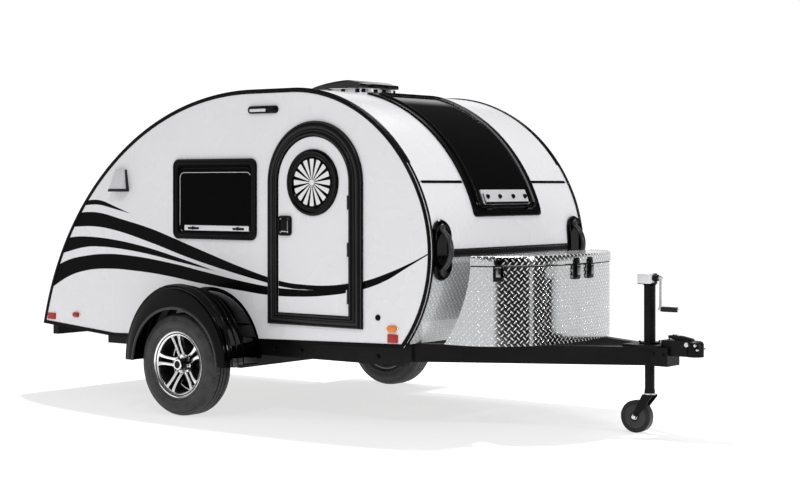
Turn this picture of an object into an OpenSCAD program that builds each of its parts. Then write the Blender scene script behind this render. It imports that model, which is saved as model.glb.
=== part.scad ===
// Teardrop trailer standing on its wheels and its jack.
// X points forward to the coupler, Y to the left and Z up. The origin lies on the ground,
// midway along the trailer. Lengths along X are given from the axle and moved there by from_axle().

/* [Body] */
// Overall width over the two side walls
body_w = 1602; // [1400:1:1800]
// Thickness of a side wall
wall_t = 25; // [18:1:35]
// Thickness of the roof, the front panels and the hatch
skin_t = 25; // [18:1:35]
// Height of the flat part of the roof
roof_z = 1946; // [1850:1:2050]
// Radius of the long rear curve
rear_r = 1887; // [1800:1:1950]
// Where the rear curve starts, ahead of the axle
rear_curve_x = 321; // [250:1:400]
// Where the front curve starts, ahead of the axle
front_curve_x = 651; // [600:1:720]
// Height of the centre of the lower front curve
front_mid_z = 998; // [980:1:1015]
// Radius of the lower front curve
front_lower_r = 813; // [780:1:830]
// Angle from the vertical at which the two front curves meet
front_turn = 66.4; // [62:0.1:70]
// Lowest point of the wall's bottom edge, ahead of the axle
belly_x = -850; // [-1000:1:-700]
// Height of that lowest point
belly_z = 414; // [400:1:425]
// Height of the bottom edge at the rear corner
belly_rear_z = 467; // [455:1:480]
// Height of the bottom edge at the front corner
belly_front_z = 471; // [460:1:480]
// Height of the seam between the front panels above the lower front curve's centre
seam_rise = 400; // [360:1:440]
// Width of that seam
seam_w = 4; // [3:1:8]
// Depth of the belt moulding's lower edge below the same centre
belt_drop = 21; // [10:1:35]
// Height of the belt moulding
belt_h = 45; // [30:1:55]
// How far the belt moulding stands proud
belt_t = 12; // [6:1:16]
// How far the edge moulding stands proud
trim_t = 3; // [2:0.5:5]
// Width of the edge moulding on the side wall
trim_side_w = 20; // [15:1:30]
// Width of the edge moulding over the roof
trim_top_w = 40; // [35:1:50]

/* [Front window] */
// Half width of the front window's frame
glazing_half_w = 350; // [300:1:400]
// Height of the frame's lower edge above the lower front curve's centre
glazing_rise = 199; // [160:1:240]
// Where the frame ends on the roof, ahead of the axle
glazing_top_x = 850; // [800:1:900]
// Width of the frame round the pane
glazing_frame_w = 55; // [40:1:70]
// How far the frame stands proud
glazing_proud = 12; // [8:1:16]
// How far the pane lies below the frame's face
glazing_sunk = 2; // [1:0.5:5]
// Thickness of the acrylic pane
pane_t = 5; // [3:1:8]
// Half width of the latch bar at the pane's foot
glazing_bar_half_w = 230; // [180:1:260]
// Height of the latch bar above the frame's lower edge
glazing_bar_rise = 72; // [62:1:100]
// Height of the latch bar
glazing_bar_h = 60; // [40:1:90]
// How far the latch bar stands proud of the pane
glazing_bar_t = 8; // [5:1:14]

/* [Doors] */
// Width of a door panel
door_w = 532; // [500:1:560]
// Rear edge of a door panel, ahead of the axle
door_rear_x = 555; // [540:1:570]
// Height of a door panel's bottom edge
door_low_z = 630; // [610:1:650]
// Height at which the door's round top starts
door_spring_z = 1395; // [1350:1:1420]
// Thickness of a door
door_t = 28; // [22:1:32]
// Gap round a door panel
door_gap = 6; // [5:0.5:8]
// Overall width of the door frame on the wall
door_frame_w = 717; // [700:1:740]
// Rear edge of the door frame, ahead of the axle
door_frame_rear_x = 476; // [460:1:490]
// Height of the door frame's bottom edge
door_frame_low_z = 560; // [540:1:580]
// How far the door frame's inner leg covers the wall's edge
door_frame_leg = 8; // [5:1:14]
// How far the door frame stands proud of the wall
door_frame_proud = 12; // [8:1:16]
// How far the door's face stands proud of the wall
door_proud = 4; // [2:1:8]
// Radius of the porthole's ring
porthole_r = 193; // [180:1:205]
// Radius of the porthole's pane
porthole_pane_r = 150; // [135:1:165]
// How far the porthole's ring stands proud of the door
porthole_proud = 10; // [7:1:16]
// Width of the door latch's housing
latch_w = 92; // [80:1:105]
// Height of the door latch's housing
latch_h = 112; // [95:1:130]
// Height of the housing's lower edge
latch_low_z = 1085; // [1000:1:1150]
// Distance of the housing from the door's rear edge
latch_edge = 10; // [6:1:25]
// How far the housing stands proud of the door
latch_proud = 14; // [8:1:20]
// Width of the rim round the housing's hollow
latch_rim = 13; // [8:1:18]
// Length of a door hinge
door_hinge_l = 80; // [60:1:100]
// Height of the lowest door hinge's middle
door_hinge_low_z = 740; // [700:1:800]
// Distance between the door hinges
door_hinge_pitch = 270; // [230:1:290]
// Width of a door hinge's leaf
door_hinge_leaf = 40; // [30:1:45]
// Thickness of a door hinge's leaf
door_hinge_leaf_t = 3; // [2:0.5:4]
// Radius of a door hinge's knuckle
door_hinge_r = 6; // [5:0.5:7]

/* [Side window] */
// Rear edge of the window frame, ahead of the axle
side_window_rear_x = -309; // [-330:1:-290]
// Length of the window frame
side_window_l = 690; // [640:1:720]
// Height of the window frame's lower edge
side_window_low_z = 1048; // [1020:1:1070]
// Height of the window frame
side_window_h = 492; // [460:1:520]
// Corner radius of the window frame
side_window_r = 45; // [25:1:70]
// Width of the window frame
side_window_frame_w = 38; // [25:1:50]
// How far the window frame laps over the wall
side_window_lap = 16; // [10:1:20]
// How far the window frame stands proud
side_window_proud = 12; // [8:1:18]
// Width of the sash's ridge on the pane
sash_w = 10; // [6:1:14]
// How far the sash's ridge and the latch bar stand proud of the pane
sash_proud = 8; // [4:1:11]
// Height of the latch bar on the sash
sash_bar_h = 26; // [18:1:34]

/* [Grab handles] */
// Height of a grab handle's middle above the lower front curve's centre
handle_rise = 20; // [0:1:40]
// Width of its base
handle_w = 160; // [140:1:170]
// Height of its base
handle_h = 330; // [300:1:350]
// Thickness of its base
handle_base_t = 14; // [10:1:18]
// How far its bow stands out from the body
handle_bow_out = 62; // [52:1:75]
// Thickness of its bow
handle_bow_t = 18; // [14:1:22]
// Width of its bow
handle_bow_w = 34; // [26:1:44]
// Distance from the base's end to the bow's foot
handle_foot = 30; // [20:1:40]

/* [Lamps and vent hood] */
// Rear end of a porch lamp, ahead of the axle
porch_rear_x = 317; // [280:1:340]
// Length of a porch lamp
porch_l = 235; // [200:1:260]
// Height of a porch lamp's lower edge
porch_low_z = 1806; // [1780:1:1820]
// Height of a porch lamp
porch_h = 45; // [35:1:55]
// How far a porch lamp stands proud
porch_t = 22; // [14:1:28]
// Length of a side reflector
reflector_l = 72; // [60:1:80]
// Height of a side reflector
reflector_h = 45; // [36:1:52]
// How far a side reflector stands proud
reflector_t = 8; // [5:1:11]
// Distance of the front reflector behind the body's front
front_reflector_in = 299; // [290:1:320]
// Height of the front reflector's middle
front_reflector_z = 519; // [515:1:525]
// Distance of the rear reflector from the body's rear corner
rear_reflector_in = 44; // [38:1:80]
// Height of the rear reflector's middle
rear_reflector_z = 514; // [510:1:525]
// Distance of the front side marker's middle behind the body's front
front_marker_in = 260; // [255:1:290]
// Height of the front side marker's middle
front_marker_z = 574; // [565:1:620]
// Distance of the rear side marker's middle from the body's rear corner
rear_marker_in = 326; // [280:1:380]
// Height of the rear side marker's middle
rear_marker_z = 533; // [520:1:560]
// Length of a side marker
marker_l = 88; // [70:1:100]
// Height of a side marker
marker_h = 38; // [30:1:44]
// How far a side marker stands proud
marker_t = 18; // [12:1:24]
// Distance of a tail lamp's middle from the trailer's middle
tail_lamp_y = 635; // [600:1:660]
// Width of a tail lamp
tail_lamp_w = 150; // [120:1:180]
// Height of a tail lamp's lower edge
tail_lamp_low_z = 530; // [515:1:540]
// Height of a tail lamp
tail_lamp_h = 70; // [50:1:80]
// How far a tail lamp stands proud
tail_lamp_t = 12; // [8:1:20]
// Rear end of the vent hood, ahead of the axle
hood_rear_x = -880; // [-900:1:-860]
// Length of the vent hood
hood_l = 165; // [140:1:180]
// Height of the vent hood's lower edge
hood_low_z = 1338; // [1320:1:1350]
// Height of the vent hood
hood_h = 142; // [120:1:150]
// How far the vent hood stands out at its lower edge
hood_out = 75; // [60:1:90]
// How far the vent hood stands out at its upper edge
hood_top_out = 8; // [5:1:12]
// Height of the vent hood's upright lip
hood_lip = 12; // [8:1:18]

/* [Hatch and galley] */
// Hinge line of the hatch, ahead of the axle
hatch_hinge_x = -350; // [-420:1:-320]
// Height of the hatch's lower edge
hatch_low_z = 620; // [580:1:660]
// Length along the roof of the moulding over the hatch's hinge
hinge_moulding_l = 40; // [25:1:60]
// Radius of the bar that the hatch turns on
hatch_hinge_r = 8; // [6:0.5:10]
// Gap at the hatch's sides and lower edge
hatch_gap = 6; // [5:0.5:8]
// Front face of the bulkhead between cabin and galley, ahead of the axle
bulkhead_x = -620; // [-680:1:-580]
// Thickness of the bulkhead and the galley boards
board_t = 18; // [12:1:22]
// Height of the galley counter's top
counter_z = 905; // [860:1:940]
// Gap between the counter's rear edge and the hatch
counter_gap = 30; // [20:1:60]
// How far the counter overhangs the cabinet's face
counter_lip = 20; // [10:1:40]
// Distance of the mattress's front end behind the body's front
mattress_front_in = 340; // [280:1:460]
// Thickness of the mattress
mattress_t = 102; // [80:1:130]
// Gap round the mattress
mattress_gap = 6; // [4:1:15]
// Height of the hatch handle's middle
hatch_handle_z = 760; // [700:1:820]
// Width of the hatch handle
hatch_handle_w = 140; // [120:1:170]
// Height of the hatch handle
hatch_handle_h = 50; // [42:1:60]
// How far the hatch handle stands out
hatch_handle_out = 32; // [28:1:40]
// Thickness of the hatch handle
hatch_handle_t = 10; // [8:1:13]

/* [Roof vent] */
// Centre of the roof vent, ahead of the axle
vent_x = 490; // [470:1:510]
// Side of the vent's opening in the roof
vent_hole = 356; // [340:1:370]
// Side of the vent's lid
vent_lid_w = 430; // [415:1:450]
// Height of the vent's collar above the roof
vent_collar_h = 30; // [22:1:40]
// Height of the vent's lid
vent_lid_h = 48; // [35:1:60]
// Height of the lid's upright edge
vent_lid_edge = 14; // [10:1:18]
// Corner radius of the lid
vent_lid_r = 40; // [25:1:60]
// How far the lid's sides slope inwards
vent_lid_slope = 90; // [60:1:120]
// Distance of the lid's ridge behind its middle
vent_ridge = 70; // [40:1:90]
// Thickness of the vent's lid
vent_lid_t = 4; // [3:0.5:6]
// Gap between the vent's collar and its lid
vent_lid_gap = 6; // [5:0.5:8]
// Thickness of the vent's collar
vent_wall_t = 14; // [8:1:20]
// Width of the vent's flange on the roof
vent_flange_w = 22; // [16:1:25]
// Thickness of the vent's flange
vent_flange_t = 4; // [3:0.5:5]
// Distance of a lid bracket from the middle
vent_bracket_y = 90; // [80:1:110]
// Width of a lid bracket
vent_bracket_w = 20; // [12:1:26]
// Radius of the lid's hinge barrel
vent_hinge_r = 5; // [4:0.5:5.5]

/* [Chassis] */
// Height of the top of the frame
frame_top_z = 488; // [480:1:496]
// Distance of a side rail's outer face inside the body's side
rail_inset = 60; // [50:1:80]
// Width of a frame rail
rail_w = 51; // [40:1:60]
// Height of a side rail
rail_h = 128; // [100:1:135]
// Rear end of the side rails, ahead of the axle
rail_rear_x = -970; // [-1050:1:-900]
// Distance of the side rails' front ends behind the body's front
rail_front_in = 230; // [210:1:270]
// Height of a tongue rail
tongue_rail_h = 101.6; // [90:0.1:120]
// Half angle between the tongue rails
tongue_angle = 29; // [27:0.5:30]
// Distance of the tongue rails' front ends ahead of the body's front
tongue_l = 970; // [930:1:1010]
// Half width of the head where the tongue rails meet
head_half_w = 70; // [60:1:90]
// Height of a crossmember
cross_h = 76; // [60:1:90]
// Rear face of the crossmember behind the axle, ahead of the axle
cross_1_x = -700; // [-800:1:-600]
// Rear face of the crossmember in front of the axle
cross_2_x = 330; // [280:1:400]
// Rear face of the crossmember under the doors
cross_3_x = 900; // [800:1:1000]
// Distance of the rear crossmember from the body's rear corner
cross_rear_in = 24; // [18:1:40]
// Height of the rear crossmember
cross_rear_h = 98; // [80:1:110]
// Distance of the rear crossmember's stays inside the side rails' outer faces
stay_inset = 60; // [55:1:120]
// Thickness of the cabin floor
floor_t = 20; // [12:1:26]
// Gap between the floor's front edge and the nose panel
floor_gap = 12; // [8:1:20]

/* [Wheels] */
// Outer radius of a tyre
tyre_r = 307.3; // [300:0.1:315]
// Width of a tyre
tyre_w = 185; // [165:1:195]
// Gap between a side wall and a tyre
tyre_gap = 116.5; // [100:0.5:130]
// Height of the tyre's widest part below its tread, at its outer end
tyre_belly = 45; // [35:1:50]
// Length of the tyre's widest part
tyre_belly_l = 30; // [20:1:40]
// Drop of the tyre's shoulder
shoulder_drop = 12; // [8:1:18]
// Width of the tyre's shoulder
shoulder_w = 34; // [24:1:40]
// Radius of the rim's lip
rim_lip_r = 198; // [190:1:205]
// Radius on which the tyre's bead sits
bead_r = 179; // [172:1:184]
// Width of the rim between its flanges
rim_w = 150; // [140:1:165]
// Thickness of the rim's barrel
barrel_t = 10; // [7:1:14]
// Depth of the wheel's face below the rim's edge
face_sunk = 6; // [3:1:12]
// Height of the rim's lip above the tyre's bead
bead_lap = 2.5; // [2:0.5:4]
// Number of twin spokes
spokes = 5; // [4:1:6]
// Width of one spoke
spoke_w = 18; // [13:1:20]
// Half the gap between the two spokes of a pair
spoke_gap = 8; // [5:1:10]
// Depth of a spoke
spoke_t = 34; // [25:1:42]
// How deep the wheel's face is dished towards the hub
wheel_dish = 12; // [6:1:18]
// How far the spokes reach into the hub
spoke_root = 16; // [10:1:24]
// How far the cap stands proud of the dished face
cap_h = 9; // [5:1:14]
// Radius of the wheel's hub
hub_r = 62; // [54:1:68]
// Radius of the hub's cap
cap_r = 34; // [28:1:40]
// Radius of the circle of wheel bolts
bolt_circle_r = 50; // [46:1:53]
// Radius of the holes for the wheel bolts
bolt_hole_r = 8; // [6:0.5:9]
// Radius of the wheel spindle
spindle_r = 22; // [18:1:26]
// Distance of the spindle's end inside the tyre's middle
spindle_in = 25; // [15:1:35]
// Distance of the hub's rear face inside the tyre's inner face
hub_in = 10; // [5:1:20]
// Height of the axle tube's middle
axle_tube_z = 305; // [295:1:315]
// Distance of the axle tube ahead of the wheel centre
axle_tube_x = 140; // [120:1:160]
// Side of the square axle tube
axle_tube_w = 76; // [60:1:80]
// Distance of the axle tube's ends inside the side rails' outer faces
axle_tube_inset = 21; // [10:1:40]
// Length of the brackets that hold the axle to the rails
axle_bracket_l = 120; // [90:1:160]
// Thickness of an axle arm
axle_arm_t = 30; // [20:1:35]
// Radius of an axle arm's ends
axle_arm_r = 36; // [30:1:42]

/* [Fenders] */
// Outer radius of the fender at its outer edge
fender_r = 460; // [440:1:480]
// Radius of the fender where it meets the wall
fender_wall_r = 415; // [400:1:430]
// Radius of the opening round the tyre
fender_lip_r = 348; // [340:1:360]
// Height of the fender's centre
fender_z = 328; // [315:1:335]
// How far the fender reaches out over the tyre's outer face
fender_cover = 17.5; // [12:0.5:30]
// Radial height of the fender's outer edge
fender_edge = 30; // [20:1:36]
// Width of that edge
fender_edge_w = 24; // [16:1:30]
// Width of one band of the fender's crown
fender_band = 55; // [45:1:60]
// Step between two bands
fender_step = 10; // [6:1:14]
// Thickness of the fender
fender_t = 6; // [4:1:8]

/* [Tongue box] */
// Half width of the tongue box
box_half_w = 636; // [600:1:670]
// Radius of the box's front corners, seen from above
box_corner_r = 363; // [330:1:390]
// Where the box's straight sides end, ahead of the body's front
box_side_out = 82; // [75:1:120]
// Angle that the bowed front turns on each side
box_bow_angle = 16; // [12:0.5:20]
// Distance between the body's front and the box
box_gap = 150; // [130:1:160]
// Thickness of the box's plate
box_t = 6; // [3:1:8]
// Height of the lid's lower edge
box_seam_z = 933; // [910:1:945]
// Height of the sunk seam under the lid
box_seam_h = 6; // [4:1:10]
// Height of the top of the lid
box_top_z = 985; // [975:1:995]
// Half length of the lid's hinge
box_hinge_half_l = 420; // [300:1:500]
// Radius of the lid's hinge barrel
box_hinge_r = 6; // [5:0.5:7]
// Distance of the hinge's axis behind the box's rear edge
box_hinge_back = 7.5; // [7:0.5:10]
// Height of the hinge's leaf on the lid
box_hinge_leaf = 38; // [25:1:45]
// Width of a box latch
box_latch_w = 52; // [40:1:64]
// Height of a box latch
box_latch_h = 72; // [55:1:90]
// Thickness of a box latch
box_latch_t = 16; // [10:1:22]
// Angle round the corner at which the side latches sit
box_side_latch_angle = 55; // [45:1:65]
// Angle off the middle at which the two front latches sit
box_front_latch_angle = 3.1; // [2.4:0.1:5]

/* [Coupler and jack] */
// Length of the coupler ahead of the head
coupler_l = 180; // [150:1:210]
// Diameter of the hitch ball that the coupler takes
ball_d = 50.8; // [47.6:0.1:58.7]
// Height of the coupler's lower edge
coupler_z = 442; // [430:1:450]
// Length of the tongue's head
head_l = 98; // [80:1:120]
// Width of the coupler's channel at its rear
coupler_back_w = 96; // [84:1:110]
// Width of the coupler's channel at its front
coupler_w = 72; // [64:1:80]
// Height of the coupler
coupler_h = 86; // [76:1:100]
// Height of the ball's middle above the coupler's lower edge
ball_rise = 28; // [26:0.5:32]
// Radius of the coupler's socket
coupler_r = 48; // [44:1:54]
// Length of the coupler's latch lever
lever_l = 116; // [90:1:130]
// Width of the latch lever
lever_w = 30; // [22:1:36]
// Height of the latch lever
lever_h = 25; // [18:1:30]
// Height of the head plate's lower edge
head_low_z = 384; // [376:1:390]
// Length of the jack's mounting plate
jack_plate_l = 220; // [200:1:260]
// Half width of the jack's mounting plate
jack_plate_half_w = 110; // [100:1:130]
// Thickness of the jack's mounting plate
jack_plate_t = 12; // [8:1:14]
// Distance of the jack behind the tongue rails' front ends
jack_back = 50; // [40:1:70]
// Outer radius of the jack's tube
jack_tube_r = 32.5; // [30:0.5:36]
// Outer radius of the jack's leg
jack_leg_r = 27.5; // [24:0.5:29]
// Height of the lower end of the jack's tube
jack_tube_low_z = 385; // [380:1:400]
// Height of the top of the jack's tube
jack_tube_top_z = 830; // [800:1:850]
// Thickness of the jack tube's top
jack_tube_cap = 20; // [12:1:30]
// Radius of the jack's flange
jack_flange_r = 58; // [50:1:70]
// Thickness of the jack's flange
jack_flange_t = 10; // [6:1:12]
// Height of the jack's gear head
gear_head_h = 56; // [48:1:64]
// Width of the jack's gear head
gear_head_w = 80; // [70:1:90]
// How far the gear head reaches behind the jack's middle
gear_head_back = 55; // [45:1:62]
// How far the gear head reaches in front of the jack's middle
gear_head_front = 22; // [18:1:30]
// Radius of the crank's bearing
crank_boss_r = 18; // [14:1:24]
// Length of the crank's bearing
crank_boss_l = 32; // [24:1:40]
// Height of the top of the jack's swivel
fork_top_z = 240; // [230:1:250]
// Length of the jack's leg
jack_leg_l = 430; // [400:1:440]
// Radius of the jack's swivel
swivel_r = 30; // [28:1:36]
// Height of the jack's swivel
swivel_h = 22; // [16:1:28]
// Thickness of the caster's fork
fork_t = 5; // [4:0.5:8]
// Gap between the caster's wheel and its fork
fork_gap = 5.5; // [5:0.5:8]
// Radius of the caster's axle
caster_axle_r = 7; // [5:0.5:9]
// Radius of the jack's wheel
jack_wheel_r = 90; // [75:1:95]
// Width of the jack's wheel
jack_wheel_w = 48; // [40:1:60]
// How far the jack's wheel trails behind its swivel
jack_trail = 80; // [60:1:90]
// Height of the crank's shaft
crank_z = 866; // [855:1:875]
// Length of the crank's arm
crank_arm = 172; // [150:1:185]
// Radius of the crank's rod
crank_rod_r = 8; // [6:0.5:9]
// Length of the crank's grip
crank_grip_l = 100; // [80:1:115]
// Radius of the crank's grip
crank_grip_r = 14; // [11:0.5:17]

/* [Fits] */
// Clearance between pieces that lie together
fit = 0.3; // [0.3:0.1:0.6]
// Clearance round pieces that turn or slide
running_gap = 0.5; // [0.4:0.1:0.8]

/* [Hidden] */
$fn = 96;

big = 3000;
wall_y = body_w / 2;
inner_y = wall_y - wall_t;
flange_y = wall_y + trim_t - trim_top_w;
hatch_half_w = flange_y - hatch_gap;

// The upper front curve runs from the flat roof into the lower one without a kink
front_upper_r = (roof_z - front_mid_z - front_lower_r * cos(front_turn)) / (1 - cos(front_turn));
seam_z = front_mid_z + seam_rise;
belt_z = front_mid_z - belt_drop;
glazing_low_z = front_mid_z + glazing_rise;

// Centres of the body's curves, from the axle
rear_c = [rear_curve_x, roof_z - rear_r];
front_upper_c = [front_curve_x, roof_z - front_upper_r];
front_lower_c = front_upper_c
    + (front_upper_r - front_lower_r) * [sin(front_turn), cos(front_turn)];

function front_x(z) = front_lower_c.x + sqrt(pow(front_lower_r, 2) - pow(z - front_lower_c.y, 2));
function rear_x(z) = rear_c.x - sqrt(pow(rear_r, 2) - pow(z - rear_c.y, 2));
function rear_surface_z(x) = rear_c.y + sqrt(pow(rear_r, 2) - pow(x - rear_c.x, 2));

// Foremost point of the body, then the pieces that follow it
nose_x = front_lower_c.x + front_lower_r;
rail_front_x = nose_x - rail_front_in;
tongue_front_x = nose_x + tongue_l;
jack_x = tongue_front_x - jack_back;
coupler_back_x = tongue_front_x + head_l;
coupler_front_x = coupler_back_x + coupler_l;
box_side_x = nose_x + box_side_out;

// The axle's place, so that the origin is midway between the rear moulding and the coupler
body_rear_x = rear_x(belly_rear_z) - trim_t;
axle_x = -(coupler_front_x + body_rear_x) / 2;

module from_axle() { translate([axle_x, 0, 0]) children(); }

// Extrudes a side view along Y, from y0 to y1
module along_y(y0, y1) {
    translate([0, y1, 0]) rotate([90, 0, 0]) linear_extrude(height = y1 - y0) children();
}

module both_sides() {
    children();
    mirror([0, 1, 0]) children();
}

// A box between two corners
module block(from, to) { translate(from) cube(to - from); }

// A rod along Y, from y0 to y1
module rod_y(x, z, r, y0, y1) { translate([x, y0, z]) rotate([-90, 0, 0]) cylinder(r = r, h = y1 - y0); }

// Rectangle from a corner and a size, with round corners
module rounded_rect(low, size, r) {
    translate(low + [r, 0]) square([size.x - 2 * r, size.y]);
    translate(low + [0, r]) square([size.x, size.y - 2 * r]);
    for (x = [r, size.x - r], y = [r, size.y - r]) translate(low + [x, y]) circle(r = r);
}

// ---- Body profile ----

// Area above the wall's bottom edge, raised by inset
module above_belly(inset) {
    rear_slope = (belly_rear_z - belly_z) / (body_rear_x - belly_x);
    front_slope = (belly_front_z - belly_z) / (front_x(belly_front_z) - belly_x);
    polygon([
        [belly_x - big, belly_z - big * rear_slope + inset],
        [belly_x, belly_z + inset],
        [belly_x + big, belly_z + big * front_slope + inset],
        [belly_x + big, big],
        [belly_x - big, big],
    ]);
}

// Area under the body's curves, drawn inwards by inset
module under_curves(inset) {
    split_dir = [sin(front_turn), cos(front_turn)];
    intersection() {
        translate(rear_c) circle(r = rear_r - inset, $fn = 360);
        translate([rear_c.x - big, 0]) square([big, big]);
    }
    translate([rear_curve_x, 0]) square([front_curve_x - rear_curve_x, roof_z - inset]);
    intersection() {
        translate(front_upper_c) circle(r = front_upper_r - inset, $fn = 360);
        polygon([front_upper_c, front_upper_c + big * split_dir, front_upper_c + [0, big]]);
    }
    intersection() {
        translate(front_lower_c) circle(r = front_lower_r - inset, $fn = 360);
        polygon([
            front_upper_c, front_upper_c + big * split_dir,
            [front_upper_c.x + big, 0], [front_upper_c.x, 0],
        ]);
    }
}

// Side view of the body, drawn inwards by inset
module profile(inset) {
    intersection() {
        above_belly(inset);
        under_curves(inset);
    }
}

// The shell between two insets of the body's curves
module shell(outer, inner) {
    difference() {
        profile(outer);
        under_curves(inner);
    }
}

// ---- Side walls, doors and windows ----

module door_outline(rear, width, low, grow) {
    r = width / 2 + grow;
    translate([rear - grow, low - grow]) square([2 * r, door_spring_z - low + grow]);
    translate([rear + width / 2, door_spring_z]) circle(r = r);
}

module side_window_outline(shrink) {
    rounded_rect(
        [side_window_rear_x + shrink, side_window_low_z + shrink],
        [side_window_l - 2 * shrink, side_window_h - 2 * shrink],
        side_window_r - shrink / 2
    );
}

// How much larger than a door its hole in the wall is
door_hole_margin = door_gap + door_frame_leg;

module wall_right() {
    color("whitesmoke") from_axle() along_y(-wall_y, -inner_y) difference() {
        profile(0);
        door_outline(door_rear_x, door_w, door_low_z, door_hole_margin);
        side_window_outline(side_window_lap);
    }
}

module wall_left() { mirror([0, 1, 0]) wall_right(); }

module door_frame() {
    along_y(-wall_y - door_frame_proud, -wall_y) difference() {
        door_outline(door_frame_rear_x, door_frame_w, door_frame_low_z, 0);
        door_outline(door_rear_x, door_w, door_low_z, door_gap);
    }
    along_y(-wall_y, -inner_y) difference() {
        door_outline(door_rear_x, door_w, door_low_z, door_hole_margin);
        door_outline(door_rear_x, door_w, door_low_z, door_gap);
    }
}

module door_frames() { color("black") from_axle() both_sides() door_frame(); }

door_mid_x = door_rear_x + door_w / 2;
door_hinge_x = door_rear_x + door_w + door_hinge_r + 3;
door_hinge_y = wall_y + door_frame_proud + door_hinge_r + fit;

module door_hinge(z) {
    face_y = wall_y + door_proud;
    knuckle_x = door_hinge_x - door_hinge_r + 1;
    half = door_hinge_l / 2;
    block(
        [knuckle_x - door_hinge_leaf, -face_y - door_hinge_leaf_t, z - half],
        [knuckle_x, -face_y, z + half]
    );
    translate([door_hinge_x, -door_hinge_y, z - half]) cylinder(r = door_hinge_r, h = door_hinge_l);
    // Web from the leaf out to the knuckle
    block(
        [knuckle_x - door_hinge_r - 1, -door_hinge_y - door_hinge_r / 2, z - half],
        [knuckle_x, -face_y, z + half]
    );
}

// Housing on a door's rear side, with a paddle in its hollow
module door_latch() {
    face_y = wall_y + door_proud;
    low = [door_rear_x + latch_edge, latch_low_z];
    size = [latch_w, latch_h];
    rim = [latch_rim, latch_rim];
    along_y(-face_y - latch_proud, -face_y) difference() {
        rounded_rect(low, size, 2 * latch_rim);
        rounded_rect(low + rim, size - 2 * rim, latch_rim);
    }
    along_y(-face_y - latch_proud / 4, -face_y) rounded_rect(low + rim / 2, size - rim, latch_rim);
    along_y(-face_y - 3 * latch_proud / 4, -face_y)
        rounded_rect(low + 1.5 * rim, [size.x - 4 * rim.x, size.y - 3 * rim.y], latch_rim / 3);
}

// One door with its hinges and latch, on the right side
module door() {
    face_y = wall_y + door_proud;
    along_y(-face_y, -face_y + door_t) difference() {
        door_outline(door_rear_x, door_w, door_low_z, 0);
        translate([door_mid_x, door_spring_z]) circle(r = porthole_pane_r);
    }
    door_latch();
    for (i = [0 : 2]) door_hinge(door_hinge_low_z + i * door_hinge_pitch);
}

module door_right() { color("whitesmoke") from_axle() door(); }
module door_left() { color("whitesmoke") from_axle() mirror([0, 1, 0]) door(); }

// Ring on the door's face with the pane in it
module porthole() {
    translate([door_mid_x, -wall_y - door_proud, door_spring_z]) rotate([90, 0, 0]) {
        cylinder(r = porthole_pane_r + 1, h = pane_t);
        difference() {
            cylinder(r = porthole_r, h = porthole_proud);
            translate([0, 0, -1]) cylinder(r = porthole_pane_r, h = porthole_proud + 2);
        }
    }
}

module porthole_right() { color("black") from_axle() porthole(); }
module porthole_left() { color("black") from_axle() mirror([0, 1, 0]) porthole(); }

module side_window_frame() {
    along_y(-wall_y - side_window_proud, -wall_y) difference() {
        side_window_outline(0);
        side_window_outline(side_window_frame_w);
    }
    along_y(-wall_y, -inner_y) difference() {
        side_window_outline(side_window_lap);
        side_window_outline(side_window_frame_w);
    }
}

module window_frames() { color("black") from_axle() both_sides() side_window_frame(); }

// Pane with the ridge of its sash and the latch bar at its foot
module side_window_pane() {
    sash = side_window_frame_w + fit;
    along_y(-wall_y, -wall_y + pane_t) side_window_outline(side_window_frame_w);
    along_y(-wall_y - sash_proud, -wall_y) {
        difference() {
            side_window_outline(sash);
            side_window_outline(sash + sash_w);
        }
        translate([side_window_rear_x + sash + 1, side_window_low_z + sash + 2 * sash_w])
            square([side_window_l - 2 * sash - 2, sash_bar_h]);
    }
}

module window_panes() { color("dimgray") from_axle() both_sides() side_window_pane(); }

// ---- Roof, front and rear panels ----

// Part of the shell between two insets, inside a given region of the side view
module skin(outer, inner, half_w) {
    along_y(-half_w, half_w) intersection() {
        shell(outer, inner);
        children();
    }
}

module front_region(z0, z1) {
    translate([front_upper_c.x + front_lower_r / 2, z0]) square([big, z1 - z0]);
}

// The side-view region that the front window covers, shrunk by margin along the body
module glazing_region(margin) {
    low = glazing_low_z + margin;
    polygon([
        [glazing_top_x + margin, front_upper_c.y],
        [glazing_top_x + margin, big],
        [big, big],
        [big, low],
        [front_lower_c.x, low],
    ]);
}

// Cuts the hole of the front window out of a panel
module glazing_hole() {
    skin(-big / 10, skin_t + 1, glazing_half_w - glazing_frame_w / 2)
        glazing_region(glazing_frame_w / 2);
}

module roof_skin() {
    color("whitesmoke") from_axle() difference() {
        skin(0, skin_t, inner_y) polygon([
            [hatch_hinge_x + hatch_hinge_r, big],
            [hatch_hinge_x + hatch_hinge_r, seam_z + seam_w / 2],
            [big, seam_z + seam_w / 2],
            [big, big],
        ]);
        glazing_hole();
        block(
            [vent_x - vent_hole / 2, -vent_hole / 2, roof_z - 2 * skin_t],
            [vent_x + vent_hole / 2, vent_hole / 2, roof_z + skin_t]
        );
    }
}

module front_panel() {
    color("whitesmoke") from_axle() difference() {
        skin(0, skin_t, inner_y) front_region(belt_z + belt_h / 2, seam_z - seam_w / 2);
        glazing_hole();
    }
}

module nose_plate() {
    color("lightgray") from_axle()
        skin(0, skin_t, inner_y) front_region(frame_top_z + 1, belt_z + belt_h / 2);
}

module rear_valance() {
    color("whitesmoke") from_axle() skin(0, skin_t, inner_y)
        translate([-big, frame_top_z + 1]) square([big + hatch_hinge_x, hatch_low_z - frame_top_z - 1]);
}

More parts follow.
